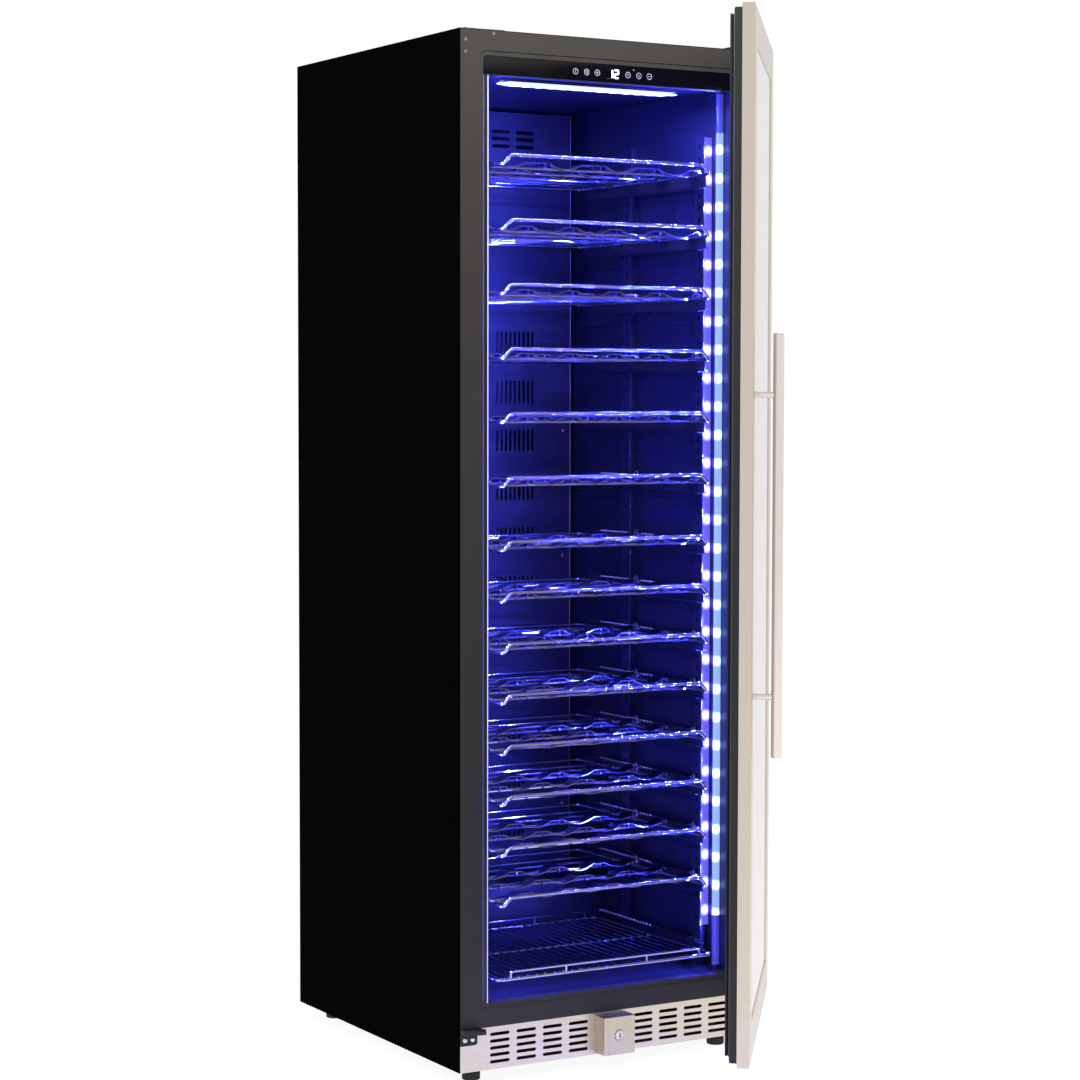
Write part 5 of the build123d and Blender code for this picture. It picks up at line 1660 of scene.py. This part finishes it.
@dataclass
class Door:
    """The glazed door, built closed and turned to where it rests open."""

    border: float = 58.0
    border_edge: float = 1.4
    mitre_gap: float = 0.12
    moulding: float = 52.0
    trim: float = 1.4
    trim_places: tuple[float, float] = (3.2, 11.8)
    trim_sink: float = 0.2
    gasket_width: float = 16.0
    gasket_bend: float = 4.0
    pane_edge: float = 0.5
    handle_cap: float = 1.6
    handle_sides: int = 40
    collar: float = 5.2
    collar_step: float = 0.8
    post_foot: float = 2.5
    post_sides: int = 28

    def __post_init__(self) -> None:
        """Finds the hinge and the turn from closed to rest."""
        joint = next(j for j in frame["joints"] if j["name"] == "door_hinge")
        angle = -math.radians(joint["range_deg"][0])
        pin = Matrix.Translation(Vector(joint["pos_m"]))
        self.turn = pin @ Matrix.Rotation(angle, 4, Vector(joint["axis"])) @ pin.inverted()
        # The door's sheet brushed along its rails, which lie turned with the door.
        self.rail_steel = BrushedSteel(
            "brushed_stainless_door_rail", "#d2c8bf", 0.3, 1.0, shade="#b3a79c", grain_mm=0.6, spread=0.1,
            run=Run.ACROSS, turn=angle,
        )

    def box(self, node: str) -> tuple[Vector, Vector]:
        """Returns a door node's corners with the door closed, in millimetres."""
        back = self.turn.inverted()
        points = [back @ v.co / MM for v in frame["nodes"][node].data.vertices]
        low, high = (Vector(end(p[k] for p in points) for k in range(3)) for end in (min, max))
        return low, high

    def build(self) -> None:
        """Builds the door's pieces."""
        self.add_frame()
        self.add_inner_frame()
        self.add_gasket()
        self.add_handle()
        dress(GLASS, "outer_glass", "inner_glass", edge=self.pane_edge)
        dress(SPACER, "glass_spacer")
        dress(ABS_BLACK, "hinge_bushes")

    def close(self, shape: Shape, name: str, slot: str, node: str) -> None:
        """Ends a shape as a piece of the door.

        Args:
            shape: The shape, built with the door closed.
            name: The piece's name.
            slot: Material slot of the record.
            node: CAD node that it stands for.
        """
        shape.piece(name, slot, [node], Body.DOOR.value, self.turn)

    def loop(self, low: Vector, high: Vector, y: float, inset: float = 0.0) -> list[Vector]:
        """Returns a rectangle inside the door's outline.

        Args:
            low: Lowest corner in millimetres.
            high: Highest corner.
            y: Where it lies.
            inset: Distance inside them.

        Returns:
            Its corners in metres.
        """
        x0, x1, z0, z1 = low.x + inset, high.x - inset, low.z + inset, high.z - inset
        return [mm(x0, y, z0), mm(x1, y, z0), mm(x1, y, z1), mm(x0, y, z1)]

    def add_frame(self) -> None:
        """Adds four mitred bars of folded steel, brushed along their length."""
        low, high = self.box("door_frame")
        border, depth, edge = self.border, high.y - low.y, self.border_edge
        fold = 0.3 * edge
        section = [
            (0, depth), (0, edge), (fold, fold), (edge, 0), (border - edge, 0), (border - fold, fold),
            (border, edge), (border, depth),
        ]
        corners = self.loop(low, high, low.y)
        inward = [Vector((x, 0, z)) for x, z in ((1, 1), (-1, 1), (-1, -1), (1, -1))]
        bars = Shape()
        for k, finish in enumerate((self.rail_steel, STEEL_UP) * 2):
            after = (k + 1) % 4
            gap = (corners[after] - corners[k]).normalized() * self.mitre_gap * MM
            rings = [
                [corner + (way * inset + BACKWARD * y) * MM for inset, y in section]
                for corner, way in ((corners[k] + gap, inward[k]), (corners[after] - gap, inward[after]))
            ]
            bars.loft(rings, finish)
        self.close(bars, "door_frame_mitred", "brushed_stainless", "door_frame")

    def add_inner_frame(self) -> None:
        """Adds the black moulding behind the steel and its pale edge trims."""
        low, high = self.box("door_inner_frame")
        depth, width = high.y - low.y, self.moulding
        # A rounded outer edge, a shallow groove and a chamfer beside the glass.
        section = [
            (0, 0), (0, depth - 2.0), (0.8, depth - 0.8), (2.0, depth), (9.0, depth), (10.0, depth - 1.2),
            (14.0, depth - 1.2), (15.0, depth), (width - 3, depth), (width, depth - 3), (width, 0),
        ]
        moulding = Shape()
        moulding.sweep(section, self.loop(low, high, low.y), ABS_BLACK, closed=True)
        rim = arc((0, 0), self.trim / 2, 0, 360, 6)[:-1]
        for inset in self.trim_places:
            moulding.sweep(rim, self.loop(low, high, high.y - self.trim_sink, inset), PALE_TRIM_AND_DUCT_HIGHLIGHT, closed=True)
        self.close(moulding, "door_inner_moulding", "inner_frame_plastic", "door_inner_frame")

    def add_gasket(self) -> None:
        """Adds the magnetic gasket with its bellows and sealing bulb."""
        low, high = self.box("door_gasket")
        width = self.gasket_width
        # Distance from the edge, with the share of the depth.
        half = [(0, 0), (0, 0.25), (2.2, 0.4), (0.4, 0.58), (0, 0.8), (1.5, 1)]
        shares = [*half, (width / 2, 1), *((width - x, share) for x, share in half[::-1])]
        section = [(x, share * (high.y - low.y)) for x, share in shares]
        path = bent(self.loop(low, high, low.y), self.gasket_bend, closed=True)[:-1]
        gasket = Shape()
        gasket.sweep(section, path, RUBBER, closed=True)
        self.close(gasket, "door_gasket_bellows", "gasket_rubber", "door_gasket")

    def add_handle(self) -> None:
        """Adds the round bar with chamfered ends and its two posts with collars."""
        low, high = self.box("handle_bar")
        centre, radius, length = (low + high) / 2, (high.x - low.x) / 2, high.z - low.z
        cap = self.handle_cap
        end = [(0, 0), (radius - cap, 0), (radius - 0.4 * cap, 0.3 * cap), (radius, cap)]
        profile = end + [(r, length - z) for r, z in end[::-1]]
        bar, posts = Shape(), Shape()
        bar.lathe(profile, at(centre.x, centre.y, low.z), HANDLE_STEEL, self.handle_sides)
        self.close(bar, "handle_grip", "brushed_stainless", "handle_bar")
        low, high = self.box("handle_posts")
        post, reach = (high.x - low.x) / 2, high.y - low.y
        collar, step = self.collar, self.collar_step
        neck, foot = post - step, self.post_foot
        profile = [
            (0, 0), (post, 0), (post, collar), (neck, collar + step), (neck, reach - foot),
            (post - 0.3, reach), (0, reach),
        ]
        for z in (low.z + post, high.z - post):
            place = at((low.x + high.x) / 2, high.y, z) @ TO_FRONT
            posts.lathe(profile, place, HANDLE_STEEL, self.post_sides)
        self.close(posts, "handle_stand_offs", "brushed_stainless", "handle_posts")


# Underneath and behind


@dataclass
class Feet:
    """Screw feet: ribbed plastic pads on zinc-plated stems."""

    ribs: int = 24
    rib: float = 1.2
    pad: float = 14.0
    pad_edge: float = 1.4
    stem: float = 10.0
    stem_sides: int = 20
    thread_pitch: float = 1.5
    thread_depth: float = 0.6
    stem_chamfer: float = 1.0

    def build(self) -> None:
        """Builds the four feet on their bodies."""
        for name in ("foot_front_left", "foot_front_right", "foot_rear_left", "foot_rear_right"):
            low, high = node_box(name)
            centre, height = (low + high) / 2, high.z - low.z
            radius = min(high.x - low.x, high.y - low.y) / 2
            outline = []
            for k in range(self.ribs * 2):
                reach, angle = radius if k % 2 else radius - self.rib, math.pi * k / self.ribs
                outline.append((reach * math.cos(angle), reach * math.sin(angle)))
            place = at(centre.x, centre.y, low.z)
            foot = Shape()
            foot.prism(outline, self.pad, place, ABS_BLACK, self.pad_edge)
            half, pitch = self.stem / 2, self.thread_pitch
            threads = [(0, self.pad), (half, self.pad)]
            z = self.pad
            while z + 2 * pitch < height:
                threads += [(half - self.thread_depth, z + pitch / 2), (half, z + pitch)]
                z += pitch
            threads += [(half - self.stem_chamfer, height), (0, height)]
            foot.lathe(threads, place, ZINC, self.stem_sides)
            foot.piece(f"{name}_pad", "foot_plastic", [name], name)


@dataclass
class FinCoil:
    """A coil: thin fins in a row on a copper pipe that runs to and fro through them."""

    node: str
    run: int
    step: int
    passes: int
    pitch: float = 4.5
    sheet: float = 0.5
    pipe: float = 7.0
    bend: float = 10.0

    def build(self) -> None:
        """Builds the coil inside its CAD node's box."""
        low, high = node_box(self.node)
        middle = (low + high) / 2
        plate_low, plate_high = low - middle, high - middle
        plate_low[self.run], plate_high[self.run] = -self.sheet / 2, self.sheet / 2
        plate, coil = Shape(), Shape()
        plate.box(plate_low * MM, plate_high * MM, FINS, 0)
        start, end = low[self.run] + self.bend, high[self.run] - self.bend
        places = []
        for k in range(int((end - start) / self.pitch) + 1):
            place = middle.copy()
            place[self.run] = start + k * self.pitch
            places.append(place * MM)
        coil.scatter(plate, places, FINS)
        ends = [low[self.run] + self.pipe / 2, high[self.run] - self.pipe / 2]
        corners = []
        for k in range(self.passes):
            for end_point in ends[::-1] if k % 2 else ends:
                corner = middle.copy()
                corner[self.run] = end_point
                corner[self.step] = low[self.step] + (k + 0.5) * (high - low)[self.step] / self.passes
                corners.append(corner * MM)
        coil.wires([bent(corners, self.bend)], self.pipe, COPPER)
        coil.piece(f"{self.node}_coil", "finned_aluminium", [self.node])


@dataclass
class Machine:
    """Cooling parts behind and below the cabinet, with the grille over them."""

    fan_edge: float = 0.3
    motor_edge: float = 0.8
    tray_edge: float = 0.5
    inlet_edge: float = 0.6
    grille_edge: float = 0.3
    seam: float = 0.55
    seam_height: float = 4.0
    foot: float = 8.0
    foot_edge: float = 2.0
    squareness: float = 3.4
    sides: int = 48
    pipe: float = 6.5
    pipe_bend: float = 14.0
    pin: tuple[float, float, float] = (2.0, 9.0, 4.0)
    pins: Outline = ((-7.0, -2.0), (7.0, -2.0), (0.0, 3.0))
    pin_sink: float = 2.0
    pin_edge: float = 0.4
    screw: ScrewHead = ScrewHead(8.0, 0.6, NICKEL)
    screw_sink: float = 0.55
    screw_inset: float = 9.0
    screws: int = 5

    def build(self) -> None:
        """Dresses the small parts and builds coils, compressor, pipe, inlet pins and screws."""
        dress(ABS_BLACK, "evaporator_fan", "condenser_fan", edge=self.fan_edge)
        dress(ZINC, "fan_motors", edge=self.motor_edge)
        dress(TRAY_GREY, "drip_tray", edge=self.tray_edge)
        dress(ABS_BLACK, "mains_inlet", edge=self.inlet_edge)
        dress(ZINC, "rear_grille", edge=self.grille_edge)
        FinCoil("evaporator", run=0, step=2, passes=6).build()
        FinCoil("condenser", run=2, step=1, passes=5).build()
        self.add_compressor()
        self.add_pipe()
        self.add_inlet_pins()
        self.add_grille_screws()

    def add_compressor(self) -> None:
        """Adds the welded two-part shell on its foot plate."""
        low, high = node_box("compressor")
        middle, height = (low + high) / 2, high.z - low.z
        half_x, half_y = (high.x - low.x) / 2 - self.foot, (high.y - low.y) / 2
        seam = self.seam * height
        lid = seam + self.seam_height
        # Heights with the share of the full width that the shell has there.
        levels = [
            (self.foot, 0.9), (0.2 * height, 0.95), (seam, 0.96), (seam, 1.0), (lid, 1.0), (lid, 0.95),
            (0.8 * height, 0.93), (0.92 * height, 0.84), (0.98 * height, 0.7), (height, 0.5),
        ]
        rounded = [
            [math.copysign(abs(f) ** (2 / self.squareness), f) for f in point]
            for point in arc((0, 0), 1, 0, 360, self.sides)[:-1]
        ]
        rings = [
            [mm(middle.x + half_x * share * x, middle.y + half_y * share * y, low.z + z) for x, y in rounded]
            for z, share in levels
        ]
        shell = Shape()
        shell.loft(rings, ENAMEL)
        shell.box(low * MM, mm(high.x, high.y, low.z + self.foot), ENAMEL, self.foot_edge)
        shell.piece("compressor_shell", "compressor_paint", ["compressor"])

    def add_pipe(self) -> None:
        """Adds the hot pipe from the compressor over the fan to the condenser."""
        low = node_box("compressor")[0]
        coil_low, coil_high = node_box("condenser")
        x, y = ((coil_low[k] + coil_high[k]) / 2 for k in (0, 1))
        top = node_box("rear_grille")[1].z - 2.5 * self.pipe
        rise = low.z + 0.6 * (coil_high.z - low.z)
        beside = low.x - 3 * self.foot
        corners = [
            mm(low.x + 4 * self.foot, y, rise), mm(beside, y, rise), mm(beside, y, top), mm(x, y, top),
            mm(x, y, coil_high.z - self.pipe),
        ]
        pipe = Shape()
        pipe.wires([bent(corners, self.pipe_bend)], self.pipe, COPPER)
        pipe.piece("hot_gas_pipe", "compressor_paint")

    def add_inlet_pins(self) -> None:
        """Adds the three contacts in the mains inlet."""
        low, high = node_box("mains_inlet")
        middle = (low + high) / 2
        size = mm(*self.pin)
        pins = Shape()
        for x, z in self.pins:
            near = mm(middle.x + x - self.pin[0] / 2, low.y + self.pin_sink, middle.z + z - self.pin[2] / 2)
            pins.box(near, near + size, NICKEL, self.pin_edge)
        pins.piece("inlet_pins", "lock_steel")

    def add_grille_screws(self) -> None:
        """Adds the screws along the grille's upper and lower edges, flush with the cabinet's back."""
        low, high = node_box("rear_grille")
        inset = self.screw_inset
        across = spread(low.x + inset, high.x - inset, self.screws)
        edges = (low.z + inset, high.z - inset)
        places = [mm(x, high.y - self.screw_sink, z) for x, z in product(across, edges)]
        screws = Shape()
        screws.scatter(self.screw.shape(TO_BACK), places, NICKEL)
        screws.piece("grille_screws", "lock_steel")


# Studio


@dataclass(frozen=True)
class AreaLamp:
    """A soft rectangular lamp, in metres and watts."""

    name: str
    place: Sequence[float]
    target: Sequence[float]
    size: tuple[float, float]
    power: float
    colour: str
    mirrored: bool = False

    def build(self) -> None:
        """Adds the lamp, unseen by the camera and through glass."""
        data = bpy.data.lights.new(self.name, "AREA")
        data.shape = "RECTANGLE"
        data.size, data.size_y = self.size
        data.energy = self.power
        data.color = linear(self.colour)[:3]
        lamp = bpy.data.objects.new(self.name, data)
        lamp.location = self.place
        aim = Vector(self.target) - Vector(self.place)
        lamp.rotation_euler = aim.to_track_quat("-Z", "Y").to_euler()
        lamp.visible_camera = lamp.visible_transmission = False
        lamp.visible_glossy = self.mirrored
        bpy.context.scene.collection.objects.link(lamp)


@dataclass
class Studio:
    """Camera, lights, floor and background."""

    eye: tuple[float, float, float] = (-2426.5, -4192.4, 1157.4)
    yaw: float = 30.453
    pitch: float = -3.097
    roll: float = 0.099
    lens: float = 89.46
    sensor: float = 36.0
    sky: float = 0.45
    floor_size: float = 30.0
    floor_grey: float = 0.8
    floor_shadow: float = 0.3
    floor_white: float = 0.88
    lamps: tuple[AreaLamp, ...] = (
        AreaLamp("key_light", (-2.6, -3.6, 3.0), (0, -0.3, 0.9), (2.4, 2.4), 30.0, "#fff8f0"),
        AreaLamp("fill_light", (3.2, -3.4, 2.2), (0, -0.3, 0.9), (2.0, 2.0), 45.0, "#fffdf8"),
        AreaLamp("top_light", (-0.35, -1.3, 2.55), (0.0, -0.31, 1.7), (1.0, 0.5), 62.0, "#fffaf4"),
    )
    diode: float = 0.012
    tube_x: float = 0.236
    tube_end: float = 0.06
    tube_step: float = 0.05
    tube_aim: float = 0.07
    tube_power: float = 44.0
    tube_low: float = 0.75
    tube_blue: str = "#444aff"
    lamp_step: float = 0.0254
    lamp_rise: float = 0.003
    lamp_power: float = 12.0
    lamp_blue: str = "#5a62ff"

    def build(self) -> None:
        """Sets up the whole studio."""
        bpy.context.scene.view_settings.view_transform = "Standard"
        self.add_camera()
        self.add_floor()
        self.light_world()
        for lamp in self.lamps:
            lamp.build()
        self.light_inside()

    def add_camera(self) -> None:
        """Adds the camera at the photograph's place and angle."""
        yaw, pitch, roll = (math.radians(a) for a in (self.yaw, self.pitch, self.roll))
        ahead = Vector((math.sin(yaw) * math.cos(pitch), math.cos(yaw) * math.cos(pitch), math.sin(pitch)))
        level = Vector((math.cos(yaw), -math.sin(yaw), 0))
        lift = level.cross(ahead)
        right = level * math.cos(roll) + lift * math.sin(roll)
        up = lift * math.cos(roll) - level * math.sin(roll)
        data = bpy.data.cameras.new("camera")
        data.lens, data.sensor_width = self.lens, self.sensor
        camera = bpy.data.objects.new("camera", data)
        camera.matrix_world = at(*self.eye) @ Matrix((right, up, -ahead)).transposed().to_4x4()
        bpy.context.scene.collection.objects.link(camera)
        bpy.context.scene.camera = camera

    def add_floor(self) -> None:
        """Adds the pale floor, which looks white and keeps a soft shadow."""
        made = bpy.data.materials.new("studio_floor")
        made.use_nodes = True
        tree = made.node_tree
        tree.nodes.clear()
        plain, shadow = (
            add_node(tree, "ShaderNodeBsdfDiffuse", {"Color": (grey, grey, grey, 1)}).outputs[0]
            for grey in (self.floor_grey, self.floor_shadow)
        )
        white = add_node(tree, "ShaderNodeEmission", {"Color": (1, 1, 1, 1), "Strength": self.floor_white})
        shown = add_node(tree, "ShaderNodeAddShader", {0: shadow, 1: white.outputs[0]}).outputs[0]
        add_node(tree, "ShaderNodeOutputMaterial", {"Surface": self.where_seen(tree, plain, shown)})
        mesh = bpy.data.meshes.new("floor")
        corners = rectangle(self.floor_size, self.floor_size)
        mesh.from_pydata([(x, y, 0) for x, y in corners], [], [(0, 1, 2, 3)])
        mesh.materials.append(made)
        floor = bpy.data.objects.new("floor", mesh)
        bpy.context.scene.collection.objects.link(floor)

    def where_seen(self, tree: Tree, lit: Socket, shown: Socket) -> Socket:
        """Mixes two shaders by how a ray came.

        Args:
            tree: Tree of a material or the world.
            lit: Shader that lights the object.
            shown: Shader for camera, glossy and transmission rays.

        Returns:
            The socket with the mix.
        """
        path = add_node(tree, "ShaderNodeLightPath").outputs
        seen = path["Is Camera Ray"]
        for kind in ("Is Glossy Ray", "Is Transmission Ray"):
            seen = add_node(tree, "ShaderNodeMath", {0: seen, 1: path[kind]}, operation="MAXIMUM").outputs[0]
        return add_node(tree, "ShaderNodeMixShader", {0: seen, 1: lit, 2: shown}).outputs[0]

    def light_world(self) -> None:
        """Makes the world white where it is seen and softer where it lights."""
        world = bpy.data.worlds.new("studio")
        world.use_nodes = True
        tree = world.node_tree
        tree.nodes.clear()
        soft, white = (
            add_node(tree, "ShaderNodeBackground", {"Color": (1, 1, 1, 1), "Strength": strength}).outputs[0]
            for strength in (self.sky, 1.0)
        )
        add_node(tree, "ShaderNodeOutputWorld", {"Surface": self.where_seen(tree, soft, white)})
        bpy.context.scene.world = world

    def light_inside(self) -> None:
        """Adds the blue light that the diodes of tubes and ceiling lamp throw into the cabinet.

        The tubes' share of light grows from their lower end to their upper one.
        """
        low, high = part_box("led_tubes")
        size = (self.diode, self.diode)
        count = round((high.z - low.z - 2 * self.tube_end) / self.tube_step)
        for side, k in product(SIDES, range(count + 1)):
            place = (side * self.tube_x, low.y + self.diode / 2, low.z + self.tube_end + k * self.tube_step)
            target = (0, low.y + self.tube_aim, place[2])
            power = self.tube_power / count * (self.tube_low + 2 * (1 - self.tube_low) * k / count)
            name = f"tube_diode_{(side + 1) // 2}_{k}"
            AreaLamp(name, place, target, size, power, self.tube_blue, mirrored=True).build()
        low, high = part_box("top_lamp")
        count = round((high.x - low.x) / self.lamp_step)
        power = self.lamp_power / count
        for k in range(count):
            place = (low.x + (k + 0.5) * self.lamp_step, low.y + self.diode, low.z + self.lamp_rise)
            target = (place[0], place[1] + self.tube_aim, 0)
            AreaLamp(f"lamp_diode_{k}", place, target, size, power, self.lamp_blue, mirrored=True).build()


def main() -> None:
    """Builds every sub-assembly in order."""
    logging.basicConfig(level=logging.INFO, format="%(name)s: %(message)s")
    assemblies = (
        CabinetShell(), KickPanel(), HingeSet(), TouchPanel(), Lighting(), BottleShelf(), BottomShelf(),
        Runners(), AirDuct(), LinerRibs(), Door(), Feet(), Machine(), Studio(),
    )
    for assembly in assemblies:
        assembly.build()


if __name__ == "__main__":
    main()
